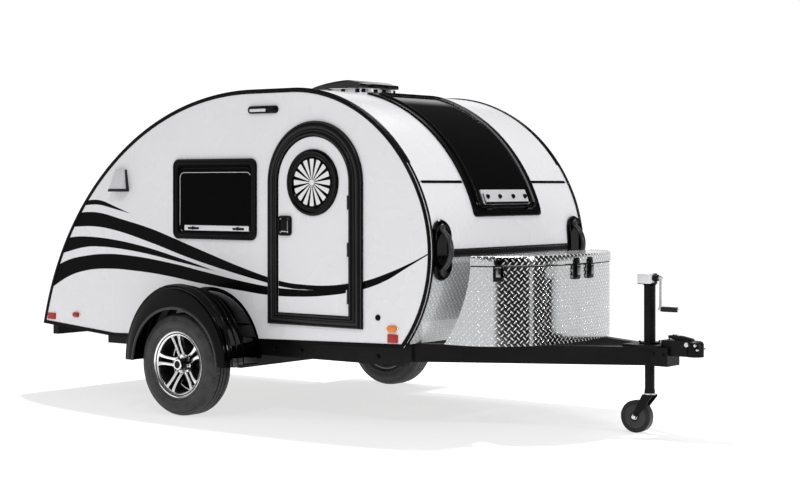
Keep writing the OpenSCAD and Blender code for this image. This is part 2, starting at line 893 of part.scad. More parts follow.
// Pane that follows both front curves, with the latch bar at its foot
module front_window() {
    face = glazing_sunk - glazing_proud;
    bar_z = glazing_low_z + glazing_bar_rise;
    color("dimgray") from_axle() {
        skin(face, face + pane_t, glazing_half_w - glazing_frame_w) glazing_region(glazing_frame_w);
        skin(face - glazing_bar_t, face + 1, glazing_bar_half_w)
            front_region(bar_z, bar_z + glazing_bar_h);
    }
}

module front_window_frame() {
    color("black") from_axle() difference() {
        union() {
            skin(-glazing_proud, 0, glazing_half_w) glazing_region(0);
            skin(0, skin_t, glazing_half_w - glazing_frame_w / 2) glazing_region(glazing_frame_w / 2);
        }
        skin(-big / 10, skin_t + 1, glazing_half_w - glazing_frame_w) glazing_region(glazing_frame_w);
    }
}

module front_moulding() {
    skin(-belt_t, 0, handle_y - handle_w / 2 - 0.5) front_region(belt_z, belt_z + belt_h);
    difference() {
        skin(-trim_t / 2, skin_t, flange_y)
            front_region(seam_z - seam_w / 2, seam_z + seam_w / 2);
        skin(-big / 10, skin_t + 1, glazing_half_w) front_region(seam_z - belt_h, seam_z + belt_h);
    }
}

// Side view of the bar on the roof's rear edge that the hatch turns on
module hatch_bar(grow) {
    translate([hatch_hinge_x, rear_surface_z(hatch_hinge_x)]) circle(r = hatch_hinge_r + grow);
}

module hatch_hinge_moulding() {
    along_y(-hatch_half_w, hatch_half_w) union() {
        hatch_bar(0);
        intersection() {
            shell(-trim_t, 0);
            translate([hatch_hinge_x, 0]) square([hinge_moulding_l, big]);
        }
    }
}

// Moulding along the edge of a wall, cut off where the fender meets the wall
module edge_moulding() {
    along_y(-wall_y - trim_t, -wall_y) difference() {
        profile(-trim_t);
        profile(trim_side_w);
        translate([0, fender_z]) circle(r = fender_wall_r + 0.5);
    }
    along_y(-wall_y, -flange_y) intersection() {
        shell(-trim_t, 0);
        translate([-big / 2, frame_top_z]) square([big, big]);
    }
}

module mouldings() {
    color("black") from_axle() {
        front_moulding();
        hatch_hinge_moulding();
        both_sides() edge_moulding();
    }
}

// ---- Lamps and small fittings ----

module porch_lights() {
    color("dimgray") from_axle() both_sides() along_y(-wall_y - porch_t, -wall_y)
        rounded_rect([porch_rear_x, porch_low_z], [porch_l, porch_h], porch_h / 2 - 1);
}

module reflector(rear_x, mid_z) {
    along_y(-wall_y - reflector_t, -wall_y)
        rounded_rect([rear_x, mid_z - reflector_h / 2], [reflector_l, reflector_h], reflector_h / 10);
}

module side_marker(mid_x, mid_z) {
    along_y(-wall_y - marker_t, -wall_y) rounded_rect(
        [mid_x - marker_l / 2, mid_z - marker_h / 2],
        [marker_l, marker_h],
        marker_h / 2 - 1
    );
}

module tail_lamp() {
    along_y(tail_lamp_y - tail_lamp_w / 2, tail_lamp_y + tail_lamp_w / 2) intersection() {
        shell(-tail_lamp_t, 0);
        translate([-big, tail_lamp_low_z]) square([big, tail_lamp_h]);
    }
}

module marker_lights() {
    color("firebrick") from_axle() both_sides() {
        reflector(nose_x - front_reflector_in, front_reflector_z);
        reflector(body_rear_x + rear_reflector_in, rear_reflector_z);
        side_marker(nose_x - front_marker_in, front_marker_z);
        side_marker(body_rear_x + rear_marker_in, rear_marker_z);
        tail_lamp();
    }
}

// Hood over the galley's vent, on the right wall only
module vent_hood() {
    top_z = hood_low_z + hood_h;
    color("whitesmoke") from_axle() translate([hood_rear_x, 0, 0]) rotate([90, 0, 90])
        linear_extrude(height = hood_l) polygon([
            [-wall_y, hood_low_z], [-wall_y - hood_out, hood_low_z],
            [-wall_y - hood_out, hood_low_z + hood_lip], [-wall_y - hood_top_out, top_z],
            [-wall_y, top_z],
        ]);
}

handle_z = front_mid_z + handle_rise;
handle_y = flange_y - handle_w / 2 - 0.5;

// Grab handle on the right: an oval base with a bow in front of it
module grab_handle() {
    span = handle_h / 2 - handle_foot;
    bow_r = (pow(span, 2) + pow(handle_bow_out, 2)) / (2 * handle_bow_out);
    intersection() {
        skin(-handle_base_t, 0, wall_y)
            front_region(handle_z - handle_h / 2 - 1, handle_z + handle_h / 2 + 1);
        translate([0, -handle_y, handle_z]) rotate([0, 90, 0]) linear_extrude(height = big) {
            for (end = [-1, 1]) translate([end * (handle_h - handle_w) / 2, 0]) circle(r = handle_w / 2);
            translate([(handle_w - handle_h) / 2, -handle_w / 2]) square([handle_h - handle_w, handle_w]);
        }
    }
    along_y(-handle_y - handle_bow_w / 2, -handle_y + handle_bow_w / 2) difference() {
        translate([front_x(handle_z) + handle_bow_out - bow_r, handle_z]) difference() {
            circle(r = bow_r);
            circle(r = bow_r - handle_bow_t);
        }
        under_curves(-handle_base_t / 2);
    }
}

module grab_handles() { color("black") from_axle() both_sides() grab_handle(); }

// ---- Fenders ----

fender_out_y = wall_y + tyre_gap + tyre_w + fender_cover;

// Section of the fender: distance from its centre, then distance from the middle of the trailer
module fender_section() {
    out = fender_out_y;
    t = fender_t;
    edge_r = fender_r - fender_edge;
    low_r = fender_r - 2 * fender_step;
    // Crown of the fender from its outer edge to the wall, in bands
    crown = [
        [fender_r, out - fender_edge_w],
        [fender_r, out - fender_band],
        [fender_r - fender_step, out - fender_band - fender_step],
        [fender_r - fender_step, out - 2 * fender_band],
        [low_r, out - 2 * fender_band - fender_step],
        [low_r, out - 3 * fender_band],
        [fender_wall_r, out - 3 * fender_band - (low_r - fender_wall_r)],
        [fender_wall_r, wall_y + fit],
    ];
    last = len(crown) - 1;
    polygon(concat(
        [[fender_lip_r, out - t], [fender_lip_r, out], [edge_r, out]],
        crown,
        [for (i = [last : -1 : 0]) crown[i] - [t, 0]],
        [[edge_r - t, out - t]]
    ));
}

module fender() {
    translate([0, 0, fender_z]) intersection() {
        rotate([90, 0, 0]) rotate_extrude($fn = 180) fender_section();
        block([-fender_r - 1, -fender_out_y - 1, 0], [fender_r + 1, 0, fender_r + 1]);
    }
}

module fender_right() { color("black") from_axle() fender(); }
module fender_left() { color("black") from_axle() mirror([0, 1, 0]) fender(); }

// ---- Inside ----

module floor_pan() {
    z0 = frame_top_z;
    z1 = frame_top_z + floor_t;
    color("dimgray") from_axle() block(
        [rear_x(z1) + skin_t + 2, -inner_y + 1, z0],
        [front_x(z0) - skin_t - floor_gap, inner_y - 1, z1]
    );
}

// Bulkhead, counter and the cabinet's face behind the hatch
module galley() {
    counter_rear_x = rear_x(counter_z - board_t) + skin_t + counter_gap;
    half = inner_y - fit;
    floor_z = frame_top_z + floor_t;
    color("burlywood") from_axle() {
        along_y(-half, half) intersection() {
            profile(skin_t + hatch_gap);
            translate([bulkhead_x - board_t, floor_z]) square([board_t, roof_z]);
        }
        block(
            [counter_rear_x, -half, counter_z - board_t],
            [bulkhead_x - board_t, half, counter_z]
        );
        block(
            [counter_rear_x + counter_lip, -half, floor_z],
            [counter_rear_x + counter_lip + board_t, half, counter_z - board_t]
        );
    }
}

module mattress() {
    floor_z = frame_top_z + floor_t;
    color("slategray") from_axle() block(
        [bulkhead_x + mattress_gap, -inner_y + mattress_gap, floor_z],
        [nose_x - mattress_front_in, inner_y - mattress_gap, floor_z + mattress_t]
    );
}

// ---- Hatch ----

// Grip on the hatch: a bar with a foot at each end
module hatch_handle() {
    w = hatch_handle_w / 2;
    h = hatch_handle_h / 2;
    t = hatch_handle_t;
    translate([rear_x(hatch_handle_z) - hatch_handle_out, 0, hatch_handle_z]) difference() {
        block([0, -w, -h], [hatch_handle_out + skin_t / 5, w, h]);
        block([t, t - w, -h - 1], [hatch_handle_out + skin_t, w - t, h + 1]);
    }
}

module hatch() {
    color("whitesmoke") from_axle() {
        skin(0, skin_t, hatch_half_w) difference() {
            polygon([
                [-big, hatch_low_z + hatch_gap],
                [hatch_hinge_x, hatch_low_z + hatch_gap],
                [hatch_hinge_x, big],
                [-big, big],
            ]);
            hatch_bar(running_gap);
        }
        hatch_handle();
    }
}

// ---- Roof vent ----

vent_lid_z = roof_z + vent_collar_h + vent_lid_gap;
vent_axis_x = vent_lid_w / 2;

// A square tube round the vent's opening, with a wall of the given thickness
module vent_ring(inner, t, z0, z1) {
    outer = inner + 2 * t;
    difference() {
        block([-outer / 2, -outer / 2, z0], [outer / 2, outer / 2, z1]);
        block([-inner / 2, -inner / 2, z0 - 1], [inner / 2, inner / 2, z1 + 1]);
    }
}

module roof_vent_base() {
    inner = vent_hole - 2 - 2 * vent_wall_t;
    bracket_x = vent_hole / 2 + vent_flange_w - vent_bracket_w / 2;
    color("whitesmoke") from_axle() translate([vent_x, 0, 0]) {
        vent_ring(inner, vent_wall_t, roof_z - skin_t, roof_z + vent_collar_h);
        vent_ring(inner, vent_wall_t + vent_flange_w, roof_z, roof_z + vent_flange_t);
        // Brackets under the lid's hinged edge
        both_sides() block(
            [bracket_x - 2, vent_bracket_y, roof_z],
            [vent_axis_x, vent_bracket_y + vent_bracket_w, vent_lid_z - vent_hinge_r - fit]
        );
    }
}

// The lid's solid: a round-cornered square under a ridge that lies behind its middle
module lid_dome(side, height) {
    half = side / 2;
    slope = vent_lid_slope;
    intersection() {
        linear_extrude(height = height) rounded_rect([-half, -half], [side, side], vent_lid_r);
        along_y(-half, half) polygon([
            [-half, 0], [half, 0], [half, vent_lid_edge],
            [-vent_ridge + slope / 4, height], [-vent_ridge - slope / 4, height], [-half, vent_lid_edge],
        ]);
        rotate(90) along_y(-half, half) polygon([
            [-half, 0], [half, 0], [half, vent_lid_edge],
            [half - slope, height], [slope - half, height], [-half, vent_lid_edge],
        ]);
    }
}

module roof_vent_lid() {
    barrel = vent_bracket_y + vent_bracket_w;
    color("black") from_axle() translate([vent_x, 0, vent_lid_z]) {
        difference() {
            lid_dome(vent_lid_w, vent_lid_h);
            translate([0, 0, -vent_lid_t]) lid_dome(vent_lid_w - 2 * vent_lid_t, vent_lid_h);
        }
        rod_y(vent_axis_x, 0, vent_hinge_r, -barrel, barrel);
    }
}

// ---- Chassis ----

rail_half_w = wall_y - rail_inset;
cross_rear_x = body_rear_x + cross_rear_in;

module side_rails() {
    color("black") from_axle() both_sides() block(
        [rail_rear_x, -rail_half_w, frame_top_z - rail_h],
        [rail_front_x, -rail_half_w + rail_w, frame_top_z]
    );
}

// A member across the frame
module crossmember(x, half, h) { block([x, -half, frame_top_z - h], [x + rail_w, half, frame_top_z]); }

module cross_members() {
    stay_y = stay_inset - rail_half_w;
    color("black") from_axle() {
        for (x = [cross_1_x, cross_2_x, cross_3_x]) crossmember(x, rail_half_w - rail_w, cross_h);
        crossmember(rail_front_x, rail_half_w, tongue_rail_h);
        crossmember(cross_rear_x, rail_half_w, cross_rear_h);
        // Stays from the side rails to the rear crossmember
        both_sides() block(
            [cross_rear_x + rail_w, stay_y, frame_top_z - cross_h / 2],
            [rail_rear_x, stay_y + rail_w, frame_top_z]
        );
    }
}

// A tongue rail on the right, from the front crossmember to the head
tongue_rear_x = rail_front_x + rail_w;
module tongue_rail() {
    rear_y = -head_half_w - (tongue_front_x - tongue_rear_x) * tan(tongue_angle);
    inner_step = rail_w / cos(tongue_angle);
    translate([0, 0, frame_top_z - tongue_rail_h]) linear_extrude(height = tongue_rail_h) polygon([
        [tongue_rear_x, rear_y],
        [tongue_front_x, -head_half_w],
        [tongue_front_x, -head_half_w + inner_step],
        [tongue_rear_x, rear_y + inner_step],
    ]);
}

module tongue_rail_right() { color("black") from_axle() tongue_rail(); }
module tongue_rail_left() { color("black") from_axle() mirror([0, 1, 0]) tongue_rail(); }

ball_x = coupler_front_x - coupler_r;
ball_z = coupler_z + ball_rise;
coupler_top_z = coupler_z + coupler_h;

// Socket's solid with a round upper edge
module coupler_socket() {
    round = coupler_r / 3;
    translate([ball_x, 0, coupler_z]) rotate_extrude() polygon([
        [0, 0], [coupler_r, 0], [coupler_r, coupler_h - round],
        [coupler_r - round / 3, coupler_h - round / 3], [coupler_r - round, coupler_h], [0, coupler_h],
    ]);
}

// Lever on top of the coupler, bent up at its rear, with the pin that it turns on
module coupler_lever() {
    end_x = coupler_back_x + lever_l;
    along_y(-lever_w / 2, lever_w / 2) polygon([
        [coupler_back_x - lever_h, coupler_top_z + lever_h / 2],
        [coupler_back_x + lever_h, coupler_top_z - 1],
        [end_x, coupler_top_z - 1],
        [end_x, coupler_top_z + lever_h / 2],
        [coupler_back_x + 2 * lever_h, coupler_top_z + lever_h],
        [coupler_back_x - lever_h, coupler_top_z + lever_h],
    ]);
    rod_y(end_x - lever_h / 2, coupler_top_z, lever_h / 3, -coupler_w / 2, coupler_w / 2);
}

module coupler_solid() {
    plate_z = frame_top_z + jack_plate_t;
    plate = [jack_plate_l / 2, jack_plate_half_w];
    block([tongue_front_x, -head_half_w, head_low_z], [coupler_back_x, head_half_w, frame_top_z]);
    block([jack_x - plate.x, -plate.y, frame_top_z], [jack_x + plate.x, plate.y, plate_z]);
    // Channel that narrows to the socket
    translate([0, 0, coupler_z]) linear_extrude(height = coupler_h) polygon([
        [coupler_back_x - rail_w, -coupler_back_w / 2], [coupler_back_x + rail_w, -coupler_w / 2],
        [ball_x, -coupler_w / 2], [ball_x, coupler_w / 2],
        [coupler_back_x + rail_w, coupler_w / 2], [coupler_back_x - rail_w, coupler_back_w / 2],
    ]);
    coupler_socket();
    coupler_lever();
}

module coupler() {
    socket_r = ball_d / 2 + 2 * fit;
    color("black") from_axle() difference() {
        coupler_solid();
        translate([jack_x, 0, head_low_z - 1]) cylinder(r = jack_tube_r, h = 2 * tongue_rail_h);
        translate([ball_x, 0, ball_z]) sphere(r = socket_r);
        translate([ball_x, 0, coupler_z - 1]) cylinder(r = socket_r, h = ball_z - coupler_z + 1);
    }
}

tyre_mid_y = wall_y + tyre_gap + tyre_w / 2;
axle_tube_half = rail_half_w - axle_tube_inset;
spindle_out_y = tyre_mid_y - spindle_in;

// Arm from the axle tube's end to the spindle
module axle_arm() {
    z = axle_tube_z;
    r = axle_arm_r;
    along_y(-axle_tube_half - axle_arm_t, -axle_tube_half) union() {
        translate([0, tyre_r]) circle(r = r);
        translate([axle_tube_x, z]) circle(r = r);
        polygon([[0, tyre_r - r], [axle_tube_x, z - r], [axle_tube_x, z + r], [0, tyre_r + r]]);
    }
}

// Torsion axle: the tube under the rails, an arm and a spindle on each side
module axle() {
    z = axle_tube_z;
    h = axle_tube_w / 2;
    l = axle_bracket_l / 2;
    color("black") from_axle() {
        block([axle_tube_x - h, -axle_tube_half, z - h], [axle_tube_x + h, axle_tube_half, z + h]);
        both_sides() {
            block(
                [axle_tube_x - l, -rail_half_w, z + h],
                [axle_tube_x + l, -rail_half_w + rail_w, frame_top_z - rail_h]
            );
            axle_arm();
            rod_y(0, tyre_r, spindle_r, -spindle_out_y, -axle_tube_half - axle_arm_t);
        }
    }
}

// ---- Wheels ----

// Section of the tyre: radius, then distance from the tyre's middle
module tyre_section() {
    half = tyre_w / 2;
    tread_half = half - shoulder_w;
    side = [
        [bead_r, rim_w / 2 - bead_lap - fit],
        [rim_lip_r + 2, rim_w / 2 - bead_lap],
        [tyre_r - tyre_belly - tyre_belly_l, half],
        [tyre_r - tyre_belly, half],
        [tyre_r - shoulder_drop, half - shoulder_w / 2],
        [tyre_r, tread_half],
    ];
    last = len(side) - 1;
    polygon(concat([for (p = side) [p.x, -p.y]], [for (i = [last : -1 : 0]) side[i]]));
}

module wheel_place(side) {
    from_axle() translate([0, side * tyre_mid_y, tyre_r]) rotate([side * -90, 0, 0]) children();
}

module tyre() { rotate_extrude($fn = 120) tyre_section(); }

module tyre_right() { color("dimgray") wheel_place(-1) tyre(); }
module tyre_left() { color("dimgray") wheel_place(1) tyre(); }

barrel_r = bead_r - barrel_t;
face_high = rim_w / 2 - face_sunk;
face_low = face_high - spoke_t;

module rim_barrel() {
    half = rim_w / 2;
    rotate_extrude() polygon([
        [barrel_r, -half], [rim_lip_r, -half],
        [rim_lip_r, -half + bead_lap], [bead_r, -half + bead_lap + fit],
        [bead_r, half - bead_lap - fit], [rim_lip_r, half - bead_lap],
        [rim_lip_r, half], [barrel_r, half],
    ]);
}

// Twin spokes under a face that is dished towards the hub
module rim_spokes() {
    hub_edge = hub_r - spoke_root;
    near = spoke_gap;
    far = 1.6 * spoke_gap;
    intersection() {
        translate([0, 0, face_low]) linear_extrude(height = spoke_t)
            for (i = [0 : spokes - 1]) rotate(90 + i * 360 / spokes) for (s = [-1, 1]) polygon([
                [hub_edge, s * near], [barrel_r + 2, s * far],
                [barrel_r + 2, s * (far + 0.8 * spoke_w)], [hub_edge, s * (near + spoke_w)],
            ]);
        rotate_extrude() polygon([
            [0, face_low - 1], [barrel_r + 3, face_low - 1],
            [barrel_r + 3, face_high], [hub_edge, face_high - wheel_dish], [0, face_high - wheel_dish],
        ]);
    }
}

// Alloy rim: barrel with two lips, twin spokes and a hub with its cap, outer side up
module rim() {
    back = tyre_w / 2 - hub_in;
    hub_top = face_high - wheel_dish + 2;
    hole_end = hub_in / 2 - spindle_in;
    rim_barrel();
    difference() {
        union() {
            translate([0, 0, -back]) cylinder(r = hub_r, h = back + hub_top);
            translate([0, 0, hub_top - 1]) cylinder(r = cap_r, h = wheel_dish + cap_h);
            rim_spokes();
        }
        translate([0, 0, -tyre_w]) cylinder(r = spindle_r + running_gap, h = tyre_w + hole_end);
        for (i = [0 : spokes - 1]) rotate(90 + i * 360 / spokes)
            translate([bolt_circle_r, 0, face_low]) cylinder(r = bolt_hole_r, h = spoke_t);
    }
}

module rim_right() { color("silver") wheel_place(-1) rim(); }
module rim_left() { color("silver") wheel_place(1) rim(); }

// ---- Tongue box ----

bow_r = (box_half_w - box_corner_r * (1 - sin(box_bow_angle))) / sin(box_bow_angle);
bow_x = box_side_x + (box_corner_r - bow_r) * cos(box_bow_angle);

// Plan of the box seen from above, drawn inwards by inset: straight sides, round corners, bowed front
module box_plan(inset) {
    wedge = 2 * bow_r * [cos(box_bow_angle), sin(box_bow_angle)];
    translate([front_lower_c.x, -box_half_w + inset])
        square([box_side_x - front_lower_c.x, 2 * (box_half_w - inset)]);
    for (side = [-1, 1]) translate([box_side_x, side * (box_half_w - box_corner_r)])
        circle(r = box_corner_r - inset, $fn = 180);
    intersection() {
        translate([bow_x, 0]) circle(r = bow_r - inset, $fn = 360);
        polygon([[bow_x, 0], [bow_x + wedge.x, -wedge.y], [bow_x + wedge.x, wedge.y]]);
    }
}

// The body's lower front curve, moved forward by the box's gap and grown by grow
module box_rear_cut(grow) {
    translate([box_gap, 0, 0]) along_y(-big / 2, big / 2) {
        translate(front_lower_c) circle(r = front_lower_r + grow, $fn = 360);
        translate([front_lower_c.x - big, 0]) square([big, big]);
    }
}

module box_solid(z0, z1, inset) {
    difference() {
        translate([0, 0, z0]) linear_extrude(height = z1 - z0) box_plan(inset);
        box_rear_cut(inset);
    }
}

// A latch's body on the box, on a curve about centre, below the lid
module box_latch(centre, r, angle) {
    latch_top = box_seam_z - box_seam_h - 1;
    translate([centre.x, centre.y, latch_top - box_latch_h]) rotate(angle) block(
        [r - 2, -box_latch_w / 2, 0],
        [r + box_latch_t, box_latch_w / 2, box_latch_h]
    );
}

module box_latches() {
    for (side = [-1, 1]) {
        corner_c = [box_side_x, side * (box_half_w - box_corner_r)];
        box_latch(corner_c, box_corner_r, side * box_side_latch_angle);
        box_latch([bow_x, 0], bow_r, side * box_front_latch_angle);
    }
}

module tongue_box() {
    color("lightgray") from_axle() {
        difference() {
            union() {
                box_solid(frame_top_z, box_seam_z - box_seam_h, 0);
                box_solid(frame_top_z + box_t, box_seam_z - fit, box_t);
            }
            box_solid(frame_top_z + box_t, box_seam_z, 2 * box_t);
        }
        box_latches();
    }
}

// The lid's hinge, behind its rear edge: a barrel and the leaf that joins it to the lid
module box_hinge() {
    edge_x = front_x(box_seam_z) + box_gap;
    axis_x = edge_x - box_hinge_back;
    half = box_hinge_half_l;
    rod_y(axis_x, box_seam_z, box_hinge_r, -half, half);
    block(
        [axis_x - box_hinge_r / 2, -half, box_seam_z + 2],
        [edge_x + box_t / 2, half, box_seam_z + box_hinge_leaf]
    );
}

module box_lid() {
    color("lightgray") from_axle() {
        difference() {
            box_solid(box_seam_z, box_top_z, 0);
            box_solid(box_seam_z - 1, box_top_z - box_t, box_t);
        }
        box_hinge();
    }
}

// ---- Jack ----

flange_z = frame_top_z + jack_plate_t;

module jack_tube() {
    r = jack_tube_r - fit;
    head_top = jack_tube_top_z + gear_head_h;
    color("silver") from_axle() translate([jack_x, 0, 0]) {
        difference() {
            union() {
                translate([0, 0, jack_tube_low_z]) cylinder(r = r, h = jack_tube_top_z - jack_tube_low_z);
                translate([0, 0, flange_z]) cylinder(r = jack_flange_r, h = jack_flange_t);
            }
            translate([0, 0, jack_tube_low_z - 1])
                cylinder(r = jack_leg_r + running_gap, h = jack_tube_top_z - jack_tube_low_z - jack_tube_cap + 1);
        }
        block(
            [-gear_head_back, -gear_head_w / 2, jack_tube_top_z],
            [gear_head_front, gear_head_w / 2, head_top]
        );
        translate([gear_head_front, 0, crank_z]) rotate([0, 90, 0])
            cylinder(r = crank_boss_r, h = crank_boss_l);
    }
}

module jack_leg() {
    color("silver") from_axle() translate([jack_x, 0, fork_top_z]) cylinder(r = jack_leg_r, h = jack_leg_l);
}

// Side plate of the caster's fork, sloping from the swivel to the wheel's axle
module fork_plate(y0) {
    axle_x0 = jack_x - jack_trail;
    top_z = fork_top_z - swivel_h;
    eye = 2 * caster_axle_r;
    along_y(y0, y0 + fork_t) union() {
        translate([axle_x0, jack_wheel_r]) circle(r = eye);
        polygon([
            [axle_x0 - eye, jack_wheel_r], [axle_x0 + eye, jack_wheel_r],
            [jack_x + swivel_r, top_z - swivel_h / 2], [jack_x + swivel_r, top_z],
            [jack_x - swivel_r, top_z],
        ]);
    }
}

module jack_fork() {
    axle_x0 = jack_x - jack_trail;
    plate_y = jack_wheel_w / 2 + fork_gap;
    top_z = fork_top_z - swivel_h;
    color("silver") from_axle() {
        translate([jack_x, 0, top_z]) cylinder(r = swivel_r, h = swivel_h - running_gap);
        fork_plate(plate_y);
        fork_plate(-plate_y - fork_t);
        block(
            [jack_x - swivel_r, -plate_y - fork_t, top_z - fork_t],
            [jack_x + swivel_r, plate_y + fork_t, top_z]
        );
        rod_y(axle_x0, jack_wheel_r, caster_axle_r, -plate_y - 2 * fork_t, plate_y + 2 * fork_t);
    }
}

module jack_wheel() {
    color("black") from_axle() translate([jack_x - jack_trail, 0, jack_wheel_r])
        rotate([90, 0, 0]) difference() {
            cylinder(r = jack_wheel_r, h = jack_wheel_w, center = true);
            cylinder(r = caster_axle_r + running_gap, h = 2 * jack_wheel_w, center = true);
        }
}

// Crank with its shaft, a round arm that hangs down and a grip
module jack_crank() {
    shaft_x = jack_x + gear_head_front + crank_boss_l + running_gap;
    arm_x = shaft_x + 1.5 * crank_rod_r;
    r = crank_rod_r;
    color("silver") from_axle() {
        translate([shaft_x, 0, crank_z]) rotate([0, 90, 0]) cylinder(r = r, h = 3 * r);
        translate([arm_x, 0, crank_z - crank_arm]) cylinder(r = 0.9 * r, h = crank_arm + 1.6 * r);
        translate([shaft_x, 0, crank_z - crank_arm]) rotate([0, 90, 0]) cylinder(r = r, h = 3 * r);
        translate([shaft_x + 2 * r, 0, crank_z - crank_arm]) rotate([0, 90, 0])
            cylinder(r = crank_grip_r, h = crank_grip_l);
    }
}

side_rails();
cross_members();
tongue_rail_right();
tongue_rail_left();
coupler();
axle();
floor_pan();
wall_right();
wall_left();
roof_skin();
front_panel();
nose_plate();
rear_valance();
front_window();
front_window_frame();
mouldings();
door_frames();
window_frames();
window_panes();
fender_right();
fender_left();
grab_handles();
vent_hood();
porch_lights();
marker_lights();
galley();
mattress();
tongue_box();
jack_tube();
roof_vent_base();
hatch();
door_right();
door_left();
porthole_right();
porthole_left();
box_lid();
roof_vent_lid();
jack_leg();
jack_fork();
jack_wheel();
jack_crank();
tyre_right();
tyre_left();
rim_right();
rim_left();
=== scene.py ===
# %% [markdown]
# # A teardrop trailer
# The trailer's solids come from CAD and never move. This script dresses them: it gives every
# solid a finish, and adds the small pieces that a solid leaves out, such as mouldings, latches,
# lamps and tread. Every length is in metres. X points forward to the coupler, Y to the left, Z up.

# %% Load the solids
import math
import bpy
import bmesh
from mathutils import Matrix, Vector


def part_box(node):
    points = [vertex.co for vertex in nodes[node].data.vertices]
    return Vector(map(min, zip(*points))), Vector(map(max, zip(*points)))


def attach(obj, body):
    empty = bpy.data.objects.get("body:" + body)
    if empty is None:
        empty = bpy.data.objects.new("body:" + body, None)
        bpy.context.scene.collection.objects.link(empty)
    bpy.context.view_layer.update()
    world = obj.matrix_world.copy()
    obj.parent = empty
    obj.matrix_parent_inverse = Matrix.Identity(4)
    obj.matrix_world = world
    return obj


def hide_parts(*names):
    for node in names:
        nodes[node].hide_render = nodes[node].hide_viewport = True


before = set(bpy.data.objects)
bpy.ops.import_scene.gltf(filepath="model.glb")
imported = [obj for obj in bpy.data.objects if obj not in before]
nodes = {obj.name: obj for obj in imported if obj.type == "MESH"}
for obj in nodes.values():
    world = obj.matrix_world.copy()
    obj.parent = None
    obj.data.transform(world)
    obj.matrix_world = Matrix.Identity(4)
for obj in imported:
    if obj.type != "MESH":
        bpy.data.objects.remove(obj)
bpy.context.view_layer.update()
print("solids:", len(nodes))

# %% [markdown]
# Most sizes on such a trailer are given from the axle, because the body is built over it.
# The wheel's box tells where the axle is, and the wall's box how far the walls are apart.

# %% The axle and the walls
def middle(node, axis):
    low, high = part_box(node)
    return (low[axis] + high[axis]) / 2

axle_x = middle("tyre_right", 0)
wheel_z = middle("tyre_right", 2)
wheel_y = -middle("tyre_right", 1)
wall_y = -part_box("wall_right")[0].y

def at(x, y, z):
    """A point given from the axle, in the trailer's own frame."""
    return Vector((x + axle_x, y, z))

print("axle at", round(axle_x, 4), "wall at", round(wall_y, 4))

# %% [markdown]
# A finish is a small sheet of shader nodes. Adding Math nodes by hand is slow to write and to read,
# so one class wraps a socket, and the usual operators add the Math nodes. Colours go through
# Mix nodes, because a Math node would turn them grey.

# %% Shader maths as expressions
class Val:
    def __init__(self, sheet, socket):
        self.sheet, self.socket = sheet, socket

    def op(self, kind, other=None, flip=False):
        values = [self] if other is None else ([other, self] if flip else [self, other])
        return self.sheet.node("ShaderNodeMath", {"operation": kind}, dict(enumerate(values)))

    def __add__(self, o): return self.op("ADD", o)
    def __radd__(self, o): return self.op("ADD", o, True)
    def __sub__(self, o): return self.op("SUBTRACT", o)
    def __rsub__(self, o): return self.op("SUBTRACT", o, True)
    def __mul__(self, o): return self.op("MULTIPLY", o)
    def __rmul__(self, o): return self.op("MULTIPLY", o, True)
    def __truediv__(self, o): return self.op("DIVIDE", o)
    def __rtruediv__(self, o): return self.op("DIVIDE", o, True)
    def __lt__(self, o): return self.op("LESS_THAN", o)
    def __gt__(self, o): return self.op("GREATER_THAN", o)
    def abs(self): return self.op("ABSOLUTE")
    def floor(self): return self.op("FLOOR")
    def fract(self): return self.op("FRACT")

    def ramp(self, low, high, a=0.0, b=1.0):
        """A smooth step from a, below low, to b, above high."""
        return self.sheet.node("ShaderNodeMapRange", {"interpolation_type": "SMOOTHSTEP"},
                               {0: self, 1: low, 2: high, 3: a, 4: b})


class Sheet:
    """One material: its node tree, its Principled shader and its object coordinates."""
    def __init__(self, name, **flat):
        self.material = bpy.data.materials.new(name)
        print("finish:", name)
        self.material.use_nodes = True
        self.tree = self.material.node_tree
        self.shader = self.tree.nodes["Principled BSDF"]
        self.set(**flat)
        self.coords = {}

    def set(self, **flat):
        """Sets the shader's own sockets: base_color=(r, g, b), roughness=0.3 and so on."""
        for key, value in flat.items():
            socket = self.shader.inputs[key.replace("_", " ").title().replace("Ior", "IOR")]
            if isinstance(value, Val):
                self.tree.links.new(value.socket, socket)
            else:
                socket.default_value = (*value, 1) if isinstance(value, tuple) else value
        return self

    def node(self, kind, settings=None, sockets=None, out=0):
        made = self.tree.nodes.new(kind)
        for key, value in (settings or {}).items():
            setattr(made, key, value)
        for key, value in (sockets or {}).items():
            if isinstance(value, Val):
                self.tree.links.new(value.socket, made.inputs[key])
            else:
                made.inputs[key].default_value = value
        return Val(self, made.outputs[out])

    def point(self, source="Object"):
        if source not in self.coords:
            self.coords[source] = self.node("ShaderNodeTexCoord", out=source)
        return self.coords[source]

    def xyz(self, source="Object"):
        made = self.node("ShaderNodeSeparateXYZ", None, {0: self.point(source)}).socket.node
        return [Val(self, made.outputs[i]) for i in range(3)]

    def noise(self, scale, detail=3.0, rough=0.5, stretch=None):
        vector = self.point()
        if stretch:
            vector = self.node("ShaderNodeVectorMath", {"operation": "MULTIPLY"},
                               {0: vector, 1: stretch})
        return self.node("ShaderNodeTexNoise", None,
                         {"Vector": vector, "Scale": scale, "Detail": detail, "Roughness": rough})

    def mix(self, factor, a, b):
        """A colour between a and b."""
        colours = [(*c, 1) if isinstance(c, tuple) else c for c in (a, b)]
        return self.node("ShaderNodeMix", {"data_type": "RGBA"},
                         {0: factor, 6: colours[0], 7: colours[1]}, out=2)

    def bump(self, height, depth, strength=1.0):
        """Height from 0 to 1 stands depth metres proud."""
        bump = self.node("ShaderNodeBump", None,
                         {"Strength": strength, "Distance": depth, "Height": height})
        return self.set(normal=bump)

